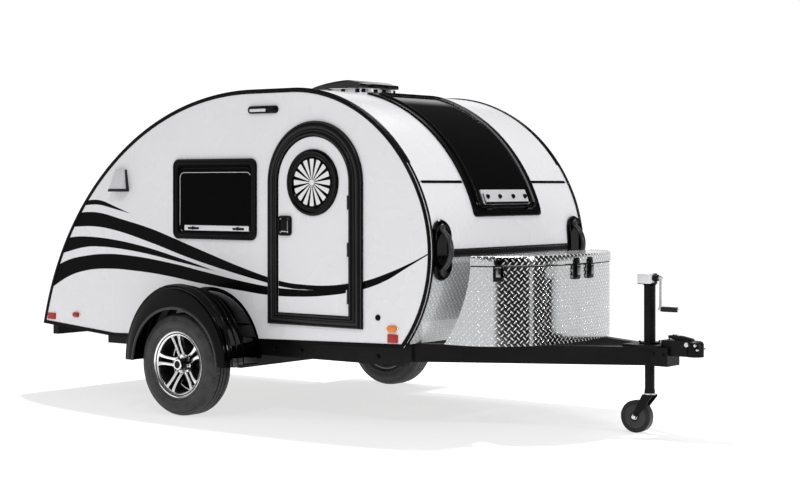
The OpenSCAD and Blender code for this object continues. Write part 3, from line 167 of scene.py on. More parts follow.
# %% [markdown]
# The body is laminated panel with a glossy white skin. It isn't perfectly even: the film has a
# faint waviness and its gloss changes a little, which shows as soft variation in the highlights.

# %% White body skin
def white_skin(name):
    s = Sheet(name, coat_weight=0.25, coat_roughness=0.08)
    cloud = s.noise(1.7, 2.0)
    s.set(base_color=s.mix(cloud.ramp(0.35, 0.65), (0.785, 0.785, 0.803), (0.80, 0.80, 0.815)))
    s.set(roughness=s.noise(4.0, 2.0).ramp(0.3, 0.7, 0.25, 0.29))
    s.bump(s.noise(240.0, 2.0), 0.00006)
    return s

skin_white = white_skin("body_skin").material
# The last few millimetres of the door at its front edge, beside the frame, are black.
door_sheet = white_skin("door_skin")
x_door = door_sheet.xyz()[0] - axle_x
white_door = door_sheet.shader.inputs["Base Color"].links[0].from_socket
door_sheet.set(base_color=door_sheet.mix(x_door > 1.0885, Val(door_sheet, white_door),
                                         (0.012, 0.012, 0.013)))
skin_door = door_sheet.material

# The hood's white plastic is painted a mid grey, darker than the body's skin: painted shade on its
# sloping faces.
hood_painted_shade = Sheet("hood_plastic_painted_shade", coat_weight=0.15, coat_roughness=0.2)
moulded = hood_painted_shade.noise(9.0, 4.0)
hood_painted_shade.set(base_color=hood_painted_shade.mix(moulded, (0.56, 0.56, 0.58), (0.66, 0.66, 0.68)),
               roughness=0.42)
hood_painted_shade.bump(hood_painted_shade.noise(700.0, 2.0), 0.00006)
hood_painted_shade = hood_painted_shade.material

# %% [markdown]
# Black comes in several finishes: ribbed vinyl on the mouldings, gloss on the fenders and grab
# handles, powder coat on the frame, and rubber. Powder coat has a fine texture, so it gets a
# denser and stronger bump.

# %% Black finishes
def black(name, tone, rough, grain=0.0, grain_scale=900.0, shine=0.3, coat=0.0):
    s = Sheet(name, coat_weight=coat, coat_roughness=0.06, specular_ior_level=shine)
    cloud = s.noise(6.0, 4.0)
    dark = tuple(c * 0.7 for c in tone)
    s.set(base_color=s.mix(cloud.ramp(0.35, 0.65), dark, tone))
    s.set(roughness=s.noise(14.0, 3.0).ramp(0.3, 0.7, rough * 0.85, rough * 1.15))
    if grain:
        s.bump(s.noise(grain_scale, 2.0), grain)
    return s.material

moulding_black = black("moulding_vinyl", (0.003, 0.003, 0.003), 0.26, 0.00006, 900.0, 0.08)
gloss_black = black("gloss_black", (0.001, 0.001, 0.001), 0.07, 0.00001, 300.0, 0.10, 0.08)
powder_black = black("powder_coat", (0.004, 0.004, 0.004), 0.38, 0.0001, 1400.0, 0.14)
rubber_black = black("black_rubber", (0.012, 0.012, 0.012), 0.60, 0.0001, 900.0, 0.3)
# The ridges get a lighter black than the vinyl: a painted highlight along each ridge.
ridge_highlight_black = black("moulding_ridges_painted_highlight", (0.014, 0.014, 0.014), 0.24, 0.00004, 900.0, 0.25)
bow_black = black("bow_satin", (0.030, 0.030, 0.031), 0.30, 0.00004, 900.0, 0.35)
# A lighter grey rubber: the caster's hard tyre, and a painted highlight on the fender lips.
grey_rubber_and_lip_highlight = black("grey_rubber_and_lip_highlight", (0.036, 0.036, 0.036), 0.45, 0.0001, 700.0, 0.35)
vinyl_stripe = black("stripe_film", (0.001, 0.001, 0.001), 0.30, 0.00002, 200.0, 0.06)

# %% [markdown]
# The smoked acrylic of the windows looks black from outside and keeps sharp highlights. A little
# transparency lets bright things behind it show through.

# %% Glass, lenses and small metal
def glass(name, tint, see, shine):
    s = Sheet(name, base_color=tint, specular_ior_level=shine, alpha=see)
    s.set(roughness=s.noise(5.0).ramp(0.3, 0.7, 0.03, 0.06))
    return s.material

smoked = glass("smoked_acrylic", (0.001, 0.001, 0.001), 0.97, 0.5)
pane_dark = glass("tinted_pane", (0.0005, 0.0005, 0.0005), 0.98, 0.04)

def lens(name, tone, glow):
    s = Sheet(name, coat_weight=0.4, coat_roughness=0.03, roughness=0.15, specular_ior_level=0.3)
    x, y, z = s.xyz()
    ribs = ((x * 260.0).fract() - 0.5).abs() + ((z * 260.0).fract() - 0.5).abs()
    s.set(base_color=s.mix(ribs.ramp(0.2, 0.8), tone, tuple(min(1, c * 1.6) for c in tone)))
    s.set(emission_color=tone, emission_strength=glow)
    s.bump(ribs, 0.0004)
    return s.material

lens_red = lens("red_lens", (0.30, 0.005, 0.003), 0.03)
lens_amber = lens("amber_lens", (0.62, 0.16, 0.012), 0.04)
lens_clear = lens("clear_lens", (0.50, 0.50, 0.52), 0.03)

def metal(name, tone, rough, scratch=0.04, scale=60.0, stretch=(1, 1, 1), metallic=1.0):
    s = Sheet(name, metallic=metallic)
    brushed = s.noise(scale, 4.0, 0.6, stretch)
    s.set(base_color=s.mix(brushed, tuple(c * 0.85 for c in tone), tone))
    s.set(roughness=brushed.ramp(0.3, 0.7, rough - scratch, rough + scratch))
    return s.material

zinc = metal("zinc_plate", (0.72, 0.73, 0.75), 0.32, 0.08, 90.0)
chrome = metal("bright_metal", (0.88, 0.88, 0.9), 0.10, 0.03)
brushed = metal("brushed_bar", (0.80, 0.80, 0.82), 0.40, 0.06, 40.0, (1, 12, 1), 0.3)
dark_metal = metal("latch_metal", (0.30, 0.30, 0.31), 0.22, 0.05, 80.0)
machined = metal("machined_alloy", (0.90, 0.90, 0.91), 0.16, 0.05, 200.0)

# %% [markdown]
# Tread plate is aluminium sheet with raised bars that lean by turns to the left and to the right.
# Turned by 45 degrees, the bars stand in a square grid, where each lies along one side of its cell
# or the other, so the pattern is worked out in that turned grid. On the box the
# distance along the sheet comes from the piece's own UV map, so it follows the bends.

# %% Tread plate
tread_pitch = 0.0183

def tread_plate(name, along=None, metallic=1.0):
    s = Sheet(name, metallic=metallic)
    if along is None:
        u, v, _ = s.xyz("UV")
    else:
        u, v = along(s)
    a_, b_ = (u + v) / (2 * tread_pitch), (u - v) / (2 * tread_pitch)
    parity = ((a_.floor() + b_.floor()) * 0.5).fract() > 0.25
    p, q = (a_.fract() - 0.5).abs(), (b_.fract() - 0.5).abs()
    long_way, short_way = p + (q - p) * parity, q + (p - q) * parity
    bar = (long_way * long_way / 0.25 + short_way * short_way / 0.0256).ramp(0.35, 1.0, 1.0, 0.0)
    scuff = s.noise(35.0, 4.0)
    # The raised bars are painted much lighter than the sheet between them: a painted highlight on
    # the bars.
    s.set(base_color=s.mix(bar, (0.66, 0.67, 0.68), (0.97, 0.97, 0.98)))
    s.set(roughness=(bar * 0.34 + scuff.ramp(0.3, 0.7, 0.07, 0.13)))
    s.bump(bar, 0.0028)
    return s.material

def nose_along(s):
    """Along Y, and up the round nose."""
    x, y, z = s.xyz()
    angle = s.node("ShaderNodeMath", {"operation": "ARCTAN2"},
                   {0: z - nose_c[1], 1: x - axle_x - nose_c[0]})
    return y, angle * nose_r

# %% [markdown]
# The side view of the body is made of arcs. The mouldings and the film stripes follow them, so
# the arcs are written down once: the long rear curve, a flat top and two curves at the front.

# %% The body's curves
roof_z, rear_r, rear_x0 = 1.946, 1.887, 0.321
rear_c = (rear_x0, roof_z - rear_r)
crown_r, nose_r, crown_x0, turn = 1.03814, 0.813, 0.651, math.radians(66.4)
crown_c = (crown_x0, roof_z - crown_r)
nose_c = (crown_c[0] + (crown_r - nose_r) * math.sin(turn),
          crown_c[1] + (crown_r - nose_r) * math.cos(turn))

print("the nose curves round", [round(c, 4) for c in nose_c], "with radius", nose_r)

def front_x(z):
    return nose_c[0] + math.sqrt(nose_r ** 2 - (z - nose_c[1]) ** 2)

def rear_x(z):
    return rear_c[0] - math.sqrt(rear_r ** 2 - (z - rear_c[1]) ** 2)

def arc(centre, radius, start, end, steps):
    """Points on a circle in a side view, with angles in degrees from X towards Z."""
    turns = [math.radians(start + (end - start) * i / steps) for i in range(steps + 1)]
    return [(centre[0] + radius * math.cos(t), centre[1] + radius * math.sin(t)) for t in turns]

def body_line(inset, low_rear=0.467, low_front=0.471):
    """The body's outline over the top, drawn inwards, from the rear corner to the front one."""
    rear_start = 180 - math.degrees(math.asin((low_rear - rear_c[1]) / (rear_r - inset)))
    nose_end = math.degrees(math.asin((low_front - nose_c[1]) / (nose_r - inset)))
    line = arc(rear_c, rear_r - inset, rear_start, 90, 60)
    line += arc(crown_c, crown_r - inset, 90, 90 - math.degrees(turn), 30)
    return line + arc(nose_c, nose_r - inset, 90 - math.degrees(turn), nose_end, 30)[1:]

# %% [markdown]
# New pieces are made with bmesh. Three helpers cover most of them: one turns a mesh into a piece
# that rides on a body, one sweeps a section along a path in a side view, and one turns a section
# round an axis.

# %% Helpers that make pieces
def only(kind, made):
    """The vertices, edges or faces among the geometry that an operator made."""
    return [g for g in made if isinstance(g, kind)]

def soften(bm, edges, offset, segments=2):
    """Rounds edges."""
    bmesh.ops.bevel(bm, geom=edges, offset=offset, segments=segments, profile=0.5, affect="EDGES",
                    material=-1)

def piece(name, bm, material, body="trailer", angle=35, recalc=True, **more):
    if recalc:
        bmesh.ops.recalc_face_normals(bm, faces=bm.faces)
    mesh = bpy.data.meshes.new(name)
    bm.to_mesh(mesh)
    bm.free()
    mesh.shade_smooth()
    mesh.set_sharp_from_angle(angle=math.radians(angle))
    obj = bpy.data.objects.new(name, mesh)
    bpy.context.scene.collection.objects.link(obj)
    mesh.materials.append(material)
    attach(obj, body)
    print(f"{name}: {len(mesh.polygons)} faces, rides on {body}")
    if more.get("replaces"):
        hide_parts(*more["replaces"])
    return obj

def one_piece(name, build, material, body="trailer", **more):
    """Builds a piece that is there once."""
    bm = bmesh.new()
    build(bm)
    return piece(name, bm, material, body, **more)

def placed(bm, build, matrix=None):
    """Builds a part by itself, moves it by a matrix, and adds it to bm."""
    part = bmesh.new()
    build(part)
    if matrix:
        bmesh.ops.transform(part, matrix=matrix, verts=part.verts)
    mesh = bpy.data.meshes.new("part")
    part.to_mesh(mesh)
    part.free()
    bm.from_mesh(mesh)
    bpy.data.meshes.remove(mesh)

def both_sides(name, build, material, bodies=("trailer", "trailer"), **more):
    """Builds a piece on the right side, and its mirror image on the left."""
    made = []
    for side, body in zip(("right", "left"), bodies):
        bm = bmesh.new()
        build(bm)
        if side == "left":
            bmesh.ops.scale(bm, vec=(1, -1, 1), verts=bm.verts)
            bmesh.ops.reverse_faces(bm, faces=bm.faces)
        made.append(piece(f"{name}_{side}", bm, material, body, **more))
        more.pop("replaces", None)
    return made

def turned(bm, profile, centre, axis, steps=64):
    """Spins a profile of (radius, height) pairs round an axis through centre."""
    up = Vector(axis).normalized()
    side = up.orthogonal().normalized()
    made = [bm.verts.new(Vector(centre) + side * r + up * h) for r, h in profile]
    edges = [bm.edges.new(pair) for pair in zip(made, made[1:])]
    bmesh.ops.spin(bm, geom=made + edges, cent=centre, axis=up, angle=2 * math.pi, steps=steps,
                   use_merge=True)
    bmesh.ops.remove_doubles(bm, verts=bm.verts, dist=1e-6)

def rod(bm, start, end, radius, bevel=0.0, steps=24):
    """A round bar between two points, with softened ends."""
    start, end = Vector(start), Vector(end)
    length = (end - start).length
    b = min(bevel, radius * 0.6)
    turned(bm, [(0, 0), (radius - b, 0), (radius, b), (radius, length - b), (radius - b, length),
                (0, length)],
           start, end - start, steps)

def slab(bm, low, high, bevel=0.0, segments=2):
    """A box between two corners, with rounded edges."""
    low, high = Vector(low), Vector(high)
    made = bmesh.ops.create_cube(bm, size=1.0)["verts"]
    bmesh.ops.scale(bm, vec=high - low, verts=made)
    bmesh.ops.translate(bm, vec=(low + high) / 2, verts=made)
    if bevel:
        edges = list({e for v in made for e in v.link_edges})
        soften(bm, edges, bevel, segments)

def mitred(path, closed):
    """For each point of a flat path, the direction in which an offset of one unit moves it."""
    count, out = len(path), []
    for i, p in enumerate(path):
        before = path[i - 1] if i or closed else None
        after = path[(i + 1) % count] if i < count - 1 or closed else None
        normals = []
        for a, b in ((before, p), (p, after)):
            if a is not None and b is not None:
                d = Vector((b[0] - a[0], b[1] - a[1])).normalized()
                normals.append(Vector((-d.y, d.x)))
        total = normals[0] + normals[-1]
        out.append(total / (1 + normals[0].dot(normals[-1])))
    return out

def sweep(bm, path, section, place, closed=True):
    """Sweeps a closed section of (sideways, outward) pairs along a flat path.
    place(x, z, out) is the point in space."""
    rings = []
    for (x, z), move in zip(path, mitred(path, closed)):
        made = [bm.verts.new(place(x + a * move.x, z + a * move.y, b)) for a, b in section]
        rings.append([bm.edges.new((made[k - 1], made[k])) for k in range(len(made))])
    pairs = list(zip(rings, rings[1:])) + ([(rings[-1], rings[0])] if closed else [])
    for one, two in pairs:
        bmesh.ops.bridge_loops(bm, edges=one + two)
    if not closed:
        bmesh.ops.edgeloop_fill(bm, edges=rings[0])
        bmesh.ops.edgeloop_fill(bm, edges=rings[-1])

def bead(width, height, steps=6):
    """A half-round section that stands height proud, with its flat side a little sunk."""
    turns = [math.pi * i / steps for i in range(steps + 1)]
    return [(math.cos(t) * width / 2, math.sin(t) * height)
            for t in turns] + [(-width / 2, -0.001), (width / 2, -0.001)]

def round_section(r, steps=12):
    turns = [2 * math.pi * i / steps for i in range(steps)]
    return [(r * math.cos(t), r * math.sin(t)) for t in turns]

def on_wall(base):
    """Places a side-view point on the right wall, its height measured from base outside it."""
    return lambda x, z, out: at(x, -(wall_y + base + out), z)

# %% [markdown]
# First the CAD solids get their finishes. A solid's mesh is left as it is: a Weld and an Edge
# Split modifier join its loose triangles and keep its corners sharp, so that curved faces shade
# smoothly.

# %% Finishes of the solids
tread_nose = tread_plate("tread_plate_nose", nose_along, 0.35)
tread_lid = tread_plate("tread_plate_lid", lambda s: s.xyz()[:2])
tread_uv = tread_plate("tread_plate_box")
plain_alloy = metal("plain_aluminium", (0.70, 0.71, 0.73), 0.34, 0.06, 25.0, (1, 1, 8))

ply = Sheet("birch_plywood", coat_weight=0.2, coat_roughness=0.2)
grain = ply.noise(5.0, 6.0, 0.65, (2.0, 2.0, 22.0))
ply.set(base_color=ply.mix(grain.ramp(0.35, 0.65), (0.44, 0.27, 0.13), (0.62, 0.43, 0.24)))
ply.set(roughness=grain.ramp(0.3, 0.7, 0.35, 0.5))
board = Sheet("floor_board")
mottled = board.noise(30.0, 5.0)
board.set(base_color=board.mix(mottled, (0.10, 0.07, 0.05), (0.20, 0.15, 0.11)))
board.set(roughness=mottled.ramp(0.3, 0.7, 0.6, 0.8))
cloth = Sheet("mattress_cover")
cx, cy, _ = cloth.xyz()
weave = ((cx * 420.0).fract() - 0.5).abs() + ((cy * 420.0).fract() - 0.5).abs()
cloth.set(base_color=cloth.mix(weave, (0.12, 0.13, 0.15), (0.22, 0.24, 0.27)), roughness=0.85)
cloth.bump(weave, 0.0006)

finish_of = {
    skin_white: ["wall_right", "wall_left", "roof_skin", "front_panel", "rear_valance", "hatch",
                 "vent_hood", "roof_vent_base"],
    skin_door: ["door_right", "door_left"],
    moulding_black: ["mouldings", "door_frames", "window_frames", "front_window_frame"],
    gloss_black: ["fender_right", "fender_left", "grab_handles"],
    powder_black: ["side_rails", "cross_members", "tongue_rail_right", "tongue_rail_left",
                   "coupler", "axle", "jack_tube", "jack_leg", "jack_fork"],
    rubber_black: ["jack_wheel", "tyre_right", "tyre_left"],
    smoked: ["front_window", "roof_vent_lid"],
    pane_dark: ["window_panes", "porthole_right", "porthole_left"],
    tread_nose: ["nose_plate"],
    tread_lid: ["box_lid"],
    plain_alloy: ["tongue_box"],
    zinc: ["jack_crank"],
    machined: ["rim_right", "rim_left"],
    lens_clear: ["porch_lights"],
    lens_red: ["marker_lights"],
    ply.material: ["galley"],
    board.material: ["floor_pan"],
    cloth.material: ["mattress"],
}
for finish, names in finish_of.items():
    for name in names:
        solid = nodes[name]
        solid.data.materials.clear()
        solid.data.materials.append(finish)
        solid.data.shade_smooth()
        weld = solid.modifiers.new("Weld", "WELD")
        weld.merge_threshold = 0.00002
        split = solid.modifiers.new("EdgeSplit", "EDGE_SPLIT")
        split.split_angle = math.radians(30)
print("finished solids:", sum(len(n) for n in finish_of.values()), "of", len(nodes))

# %% [markdown]
# The black stripes are cut film. A filled flat curve is the natural way to make one: its points
# are given from the axle, and smooth handles draw the sweep between them. Sharp ends get
# straight handles. The film is cut at the door, because it has to open with the door.

# %% Film stripes
stripe_outlines = [
    # The thin one at the top
    ([(-1.118, 1.278), (-1.020, 1.285), (-0.955, 1.277), (-0.862, 1.249), (-0.702, 1.199)],
     [(-0.862, 1.230), (-0.955, 1.248), (-1.020, 1.254), (-1.143, 1.247)]),
    # The two long ones, which join under the door and run to the front as one
    ([(-1.182, 1.198), (-1.100, 1.205), (-0.986, 1.201), (-0.801, 1.166), (-0.501, 1.102),
      (-0.311, 1.048),
      (-0.069, 0.977), (0.243, 0.889), (0.476, 0.832), (0.610, 0.808), (0.742, 0.799),
      (0.918, 0.799),
      (1.085, 0.816), (1.199, 0.834), (1.355, 0.880), (1.531, 0.947), (1.668, 1.010)],
     [(1.668, 1.003), (1.508, 0.921), (1.355, 0.842), (1.199, 0.789), (1.089, 0.765),
      (0.918, 0.741),
      (0.742, 0.728), (0.480, 0.727), (0.243, 0.746), (-0.140, 0.784), (-0.354, 0.812),
      (-0.650, 0.836),
      (-0.925, 0.842), (-1.112, 0.825), (-1.271, 0.785), (-1.451, 0.700),
      "corner", (-1.389, 0.851), (-1.271, 0.893), (-1.112, 0.921), (-0.925, 0.937), (-0.725, 0.933),
      (-0.354, 0.896), (-0.069, 0.852), (0.243, 0.804), (0.480, 0.777), (0.700, 0.768),
      (0.843, 0.769),
      "corner", (0.678, 0.771), (0.555, 0.784), (0.476, 0.797), (0.079, 0.873), (-0.211, 0.938),
      (-0.501, 1.014), (-0.862, 1.094), (-1.034, 1.112), (-1.246, 1.107)]),
    # The short one between them
    ([(-1.292, 1.034), (-1.190, 1.044), (-1.080, 1.045), (-0.862, 1.031), (-0.575, 0.991),
      (-0.283, 0.931), (0.043, 0.856)],
     [(-0.283, 0.905), (-0.575, 0.950), (-0.862, 0.978), (-1.000, 0.983), (-1.112, 0.978),
      (-1.350, 0.930)]),
]

def film_mesh():
    """All the stripes as one thin solid, drawn in X and Y for the side view's X and Z."""
    data = bpy.data.curves.new("film", "CURVE")
    data.dimensions, data.fill_mode, data.resolution_u, data.extrude = "2D", "BOTH", 10, 0.0002
    for upper, lower in stripe_outlines:
        points = upper + ["corner"] + lower + ["corner"]
        spline = data.splines.new("BEZIER")
        kept = [(p, i) for i, p in enumerate(points) if p != "corner"]
        spline.bezier_points.add(len(kept) - 1)
        spline.use_cyclic_u = True
        for knot, (p, i) in zip(spline.bezier_points, kept):
            sharp = "corner" in (points[i - 1], points[(i + 1) % len(points)])
            knot.co = (p[0], p[1], 0)
            knot.handle_left_type = knot.handle_right_type = "VECTOR" if sharp else "AUTO"
    source = bpy.data.objects.new("film", data)
    bpy.context.scene.collection.objects.link(source)
    seen = source.evaluated_get(bpy.context.evaluated_depsgraph_get())
    mesh = bpy.data.meshes.new_from_object(seen)
    bpy.data.objects.remove(source)
    return mesh

film = film_mesh()
side_turn = Matrix(((1, 0, 0, axle_x), (0, 0, -1, 0), (0, 1, 0, 0), (0, 0, 0, 1)))

def film_part(keep_from, keep_to, lift):
    """The film between two places along the trailer, lifted off the wall's plane."""
    def build(bm):
        bm.from_mesh(film)
        for place, normal in ((keep_from, -1), (keep_to, 1)):
            geom = bm.verts[:] + bm.edges[:] + bm.faces[:]
            cut = bmesh.ops.bisect_plane(bm, geom=geom, plane_co=(place, 0, 0),
                                         plane_no=(normal, 0, 0), clear_outer=True)
            edges = only(bmesh.types.BMEdge, cut["geom_cut"])
            bmesh.ops.holes_fill(bm, edges=edges)
        bmesh.ops.transform(bm, matrix=Matrix.Translation((0, -wall_y - lift, 0)) @ side_turn,
                            verts=bm.verts)
    return build

both_sides("film_rear", film_part(-1.6, 0.50, 0.0003), vinyl_stripe)
both_sides("film_front", film_part(1.17, 1.7, 0.0003), vinyl_stripe)
both_sides("film_door", film_part(0.556, 1.086, 0.0043), vinyl_stripe, ("door_right", "door_left"))
both_sides("film_leaf", film_part(1.044, 1.0945, 0.0078), vinyl_stripe, ("door_right", "door_left"))
print("film faces:", len(film.polygons))

# %% [markdown]
# Along the edge of each wall runs an aluminium rail with a black vinyl insert. The insert is a
# half-round strip, and it catches a thin line of light. One strip lies on the wall's side and
# one over the top.

# %% Edge inserts
def edge_insert(bm):
    sweep(bm, body_line(0.0085), bead(0.011, 0.0035), on_wall(0.003), closed=False)

def roof_insert(bm):
    sweep(bm, body_line(-0.003), [(a_, b_) for b_, a_ in bead(0.016, 0.0045)],
          lambda x, z, out: at(x, -(wall_y - 0.017) + out, z), closed=False)

both_sides("edge_insert", edge_insert, moulding_black, slot="trim_black")
both_sides("roof_insert", roof_insert, moulding_black, slot="trim_black")

# %% [markdown]
# The door frame is a black extrusion with several ridges. Each ridge is the same half-round
# section swept round an outline between the door's edge and the frame's outer edge, and the
# outlines are mitred at the sill.

# %% Door frame ridges
def door_line(t):
    """The outline a share t of the way from the door's edge to the outer edge of its frame."""
    rear, width, low = 0.549 - 0.073 * t, 0.544 + 0.173 * t, 0.624 - 0.064 * t
    centre = (rear + width / 2, 1.395)
    return [(rear, low), (rear + width, low)] + arc(centre, width / 2, 0, 180, 40)

def door_ridges(bm):
    for t, wide, high in ((0.10, 0.012, 0.006), (0.36, 0.008, 0.003), (0.60, 0.020, 0.005),
                          (0.92, 0.010, 0.005)):
        sweep(bm, door_line(t), bead(wide, high), on_wall(0.012))

# The ridges are a lighter black than the frame, as a painted highlight.
both_sides("door_ridges", door_ridges, ridge_highlight_black, slot="trim_black")

# %% [markdown]
# The porthole has a deep black ring, and inside it a pleated blind that opens like a fan: sixteen
# white pleats round a small hub. On the real door the blind hangs behind a clear pane. Here the
# pane is a dark solid, so the pleats are laid just in front of it. One pleat is made and spun
# round with copies, which is quicker than drawing sixteen.

# %% Porthole
port = at(0.821, -(wall_y + 0.004), 1.395)
out_dir = Vector((0, -1, 0))
white_pleat = Sheet("blind_fabric", base_color=(0.80, 0.80, 0.80), roughness=0.7)
white_pleat.bump(white_pleat.noise(300.0), 0.0003)

def port_ring(bm):
    turned(bm, [(0.147, 0.006), (0.150, 0.010), (0.158, 0.0135), (0.164, 0.0115), (0.170, 0.0125),
                (0.180, 0.0165),
                (0.190, 0.0135), (0.1945, 0.007), (0.1950, 0.0), (0.147, 0.0)], port, out_dir, 96)

def port_blind(bm):
    corners = [(0.016, -0.0013), (0.134, -0.0165), (0.1375, -0.010), (0.1375, 0.010),
               (0.134, 0.0165), (0.016, 0.0013)]
    base = [bm.verts.new(port + Vector((a_, -0.0095, b_))) for a_, b_ in corners]
    face = bm.faces.new(base)
    bmesh.ops.inset_region(bm, faces=[face], thickness=0.0009, depth=0.0016)
    bmesh.ops.spin(bm, geom=bm.verts[:] + bm.edges[:] + bm.faces[:], cent=port, axis=(0, 1, 0),
                   angle=2 * math.pi,
                   steps=16, use_duplicate=True)
    turned(bm, [(0, 0.0135), (0.012, 0.013), (0.017, 0.011), (0.017, 0.0095)], port, out_dir, 32)

both_sides("porthole_ring", port_ring, gloss_black, ("door_right", "door_left"))
both_sides("porthole_blind", port_blind, white_pleat.material, ("door_right", "door_left"))

# %% [markdown]
# The door latch is a paddle in a rounded black housing: a frame, a hollow and the paddle in it,
# with a key cylinder under the paddle.

# %% Door latch
latch_x, latch_z = 0.611, 1.141

def latch_housing(bm):
    x, z, y = latch_x, latch_z, -(wall_y + 0.004)
    bmesh.ops.create_cube(bm, size=1.0)
    bmesh.ops.scale(bm, vec=(0.098, 0.020, 0.118), verts=bm.verts)
    bmesh.ops.translate(bm, vec=at(x, y - 0.007, z), verts=bm.verts)
    upright = [e for e in bm.edges if abs((e.verts[0].co - e.verts[1].co).y) > 0.01]
    soften(bm, upright, 0.020, 6)
    bm.faces.ensure_lookup_table()
    front = min(bm.faces, key=lambda f: f.calc_center_median().y)
    soften(bm, list(front.edges), 0.004, 3)
    front = min(bm.faces, key=lambda f: (round(f.calc_center_median().y, 4), -f.calc_area()))
    bmesh.ops.inset_region(bm, faces=[front], thickness=0.0115)
    bmesh.ops.inset_region(bm, faces=[front], thickness=0.0020)
    bmesh.ops.translate(bm, vec=(0, 0.008, 0), verts=front.verts[:])

def latch_paddle(bm):
    slab(bm, at(0.5815, -(wall_y + 0.0195), 1.1095), at(0.632, -(wall_y + 0.008), 1.178), 0.006, 3)

def latch_key(bm):
    """The key cylinder and the paddle's bright spring edge."""
    rod(bm, at(0.6370, -(wall_y + 0.009), 1.1055), at(0.6370, -(wall_y + 0.0205), 1.1055), 0.006,
        0.002)
    slab(bm, at(0.6340, -(wall_y + 0.0180), 1.116), at(0.6375, -(wall_y + 0.008), 1.172), 0.0015)

both_sides("latch_housing", latch_housing, gloss_black, ("door_right", "door_left"))
both_sides("latch_paddle", latch_paddle, gloss_black, ("door_right", "door_left"))
both_sides("latch_key", latch_key, zinc, ("door_right", "door_left"))

# %% [markdown]
# A side window is a pane in a thin sash that tilts in a wide outer frame. The sash is a rounded
# rectangle swept with a small section, and a metal bar with two catches runs along its foot.

# %% Side windows
def rounded(low, high, r, steps=6):
    """A rectangle with round corners, anticlockwise."""
    (x0, z0), (x1, z1) = low, high
    return (arc((x1 - r, z0 + r), r, -90, 0, steps) + arc((x1 - r, z1 - r), r, 0, 90, steps)
            + arc((x0 + r, z1 - r), r, 90, 180, steps) + arc((x0 + r, z0 + r), r, 180, 270, steps))

def window_sash(bm):
    sweep(bm, rounded((-0.303, 1.054), (0.375, 1.534), 0.040), bead(0.012, 0.005), on_wall(0.012))
    sweep(bm, rounded((-0.284, 1.073), (0.356, 1.515), 0.030), bead(0.008, 0.002), on_wall(0.012))
    sweep(bm, rounded((-0.2690, 1.080), (0.3405, 1.484), 0.045), bead(0.007, 0.008), on_wall(0.0))

def window_bar(bm):
    slab(bm, at(-0.215, -(wall_y + 0.010), 1.101), at(0.322, -(wall_y - 0.001), 1.134), 0.004)
    sweep(bm, rounded((-0.2600, 1.093), (0.3310, 1.457), 0.034), bead(0.004, 0.003), on_wall(0.0))

def window_catches(bm):
    for x in (-0.135, 0.240):
        slab(bm, at(x - 0.045, -(wall_y + 0.016), 1.108), at(x + 0.045, -(wall_y + 0.006), 1.122),
             0.003)
        rod(bm, at(x, -(wall_y + 0.012), 1.117), at(x, -(wall_y + 0.022), 1.117), 0.011, 0.003)

both_sides("window_sash", window_sash, gloss_black, slot="trim_black")
both_sides("window_bar", window_bar, brushed)
both_sides("window_catches", window_catches, gloss_black)

# %% [markdown]
# Lamps: a porch lamp high on the wall with a black bezel and a clear bar, red and amber markers
# low on the wall, and tail lamps beside the hatch. Bezel and lens are separate pieces, because
# they have different finishes.

# %% Lamps on the walls
def oval(x, z, length, height, steps=10):
    r = height / 2
    return arc((x + length / 2 - r, z), r, -90, 90, steps) + arc((x - length / 2 + r, z), r, 90,
                                                                 270, steps)

def plate(bm, outline, base, thick, bevel=0.0, segments=3):
    """A flat plate with the given side-view outline, on the right wall."""
    face = bm.faces.new([bm.verts.new(at(x, -(wall_y + base), z)) for x, z in outline])
    top = only(bmesh.types.BMFace, bmesh.ops.extrude_face_region(bm, geom=[face])["geom"])
    verts = list({v for f in top for v in f.verts})
    bmesh.ops.translate(bm, vec=(0, -thick, 0), verts=verts)
    if bevel:
        rim = list({e for f in top for e in f.edges})
        soften(bm, rim, bevel, segments)

def porch_bezel(bm):
    plate(bm, oval(0.4345, 1.8285, 0.236, 0.046), -0.0005, 0.016, 0.006)
    plate(bm, oval(0.515, 1.8285, 0.060, 0.036), 0.015, 0.007, 0.005)

def porch_lens(bm):
    plate(bm, oval(0.400, 1.825, 0.130, 0.018), 0.013, 0.007, 0.004)

both_sides("porch_bezel", porch_bezel, gloss_black, replaces=["porch_lights"])
both_sides("porch_lens", porch_lens, lens_clear, slot="lens_clear")

def side_reflectors(bm):
    plate(bm, rounded((1.371, 0.495), (1.442, 0.543), 0.004, 3), 0.0, 0.008, 0.002)
    plate(bm, rounded((-1.480, 0.493), (-1.406, 0.535), 0.004, 3), 0.0, 0.008, 0.002)
    plate(bm, oval(-1.205, 0.533, 0.056, 0.034), 0.002, 0.016, 0.010, 5)

def amber_marker(bm):
    plate(bm, oval(1.404, 0.574, 0.066, 0.038), 0.002, 0.017, 0.010, 5)

def marker_ends(bm):
    for x, z, reach in ((-1.205, 0.533, 0.034), (1.404, 0.574, 0.042)):
        plate(bm, oval(x, z, 2 * reach + 0.006, 0.022), -0.0005, 0.004, 0.0015)
        for end in (-reach, reach):
            rod(bm, at(x + end, -wall_y, z), at(x + end, -(wall_y + 0.0075), z), 0.0055, 0.002, 12)

def wall_plug(bm):
    turned(bm, [(0.009, 0.008), (0.012, 0.010), (0.016, 0.007), (0.018, 0.0), (0.009, 0.0)],
           at(1.300, -wall_y, 0.632), out_dir, 24)
    turned(bm, [(0.0, 0.004), (0.010, 0.004), (0.010, 0.0)], at(1.300, -wall_y, 0.632), out_dir, 24)

both_sides("side_reflectors", side_reflectors, lens_red, replaces=["marker_lights"],
           slot="lens_red")
both_sides("amber_marker", amber_marker, lens_amber)
both_sides("marker_ends", marker_ends, chrome)
both_sides("wall_plug", wall_plug, gloss_black)

# %% [markdown]
# The grab handles are glossy mouldings: an oval base with a raised rim, a hollow for the hand,
# and a bow that stands out in front. The bow is an arc swept with an oval section.

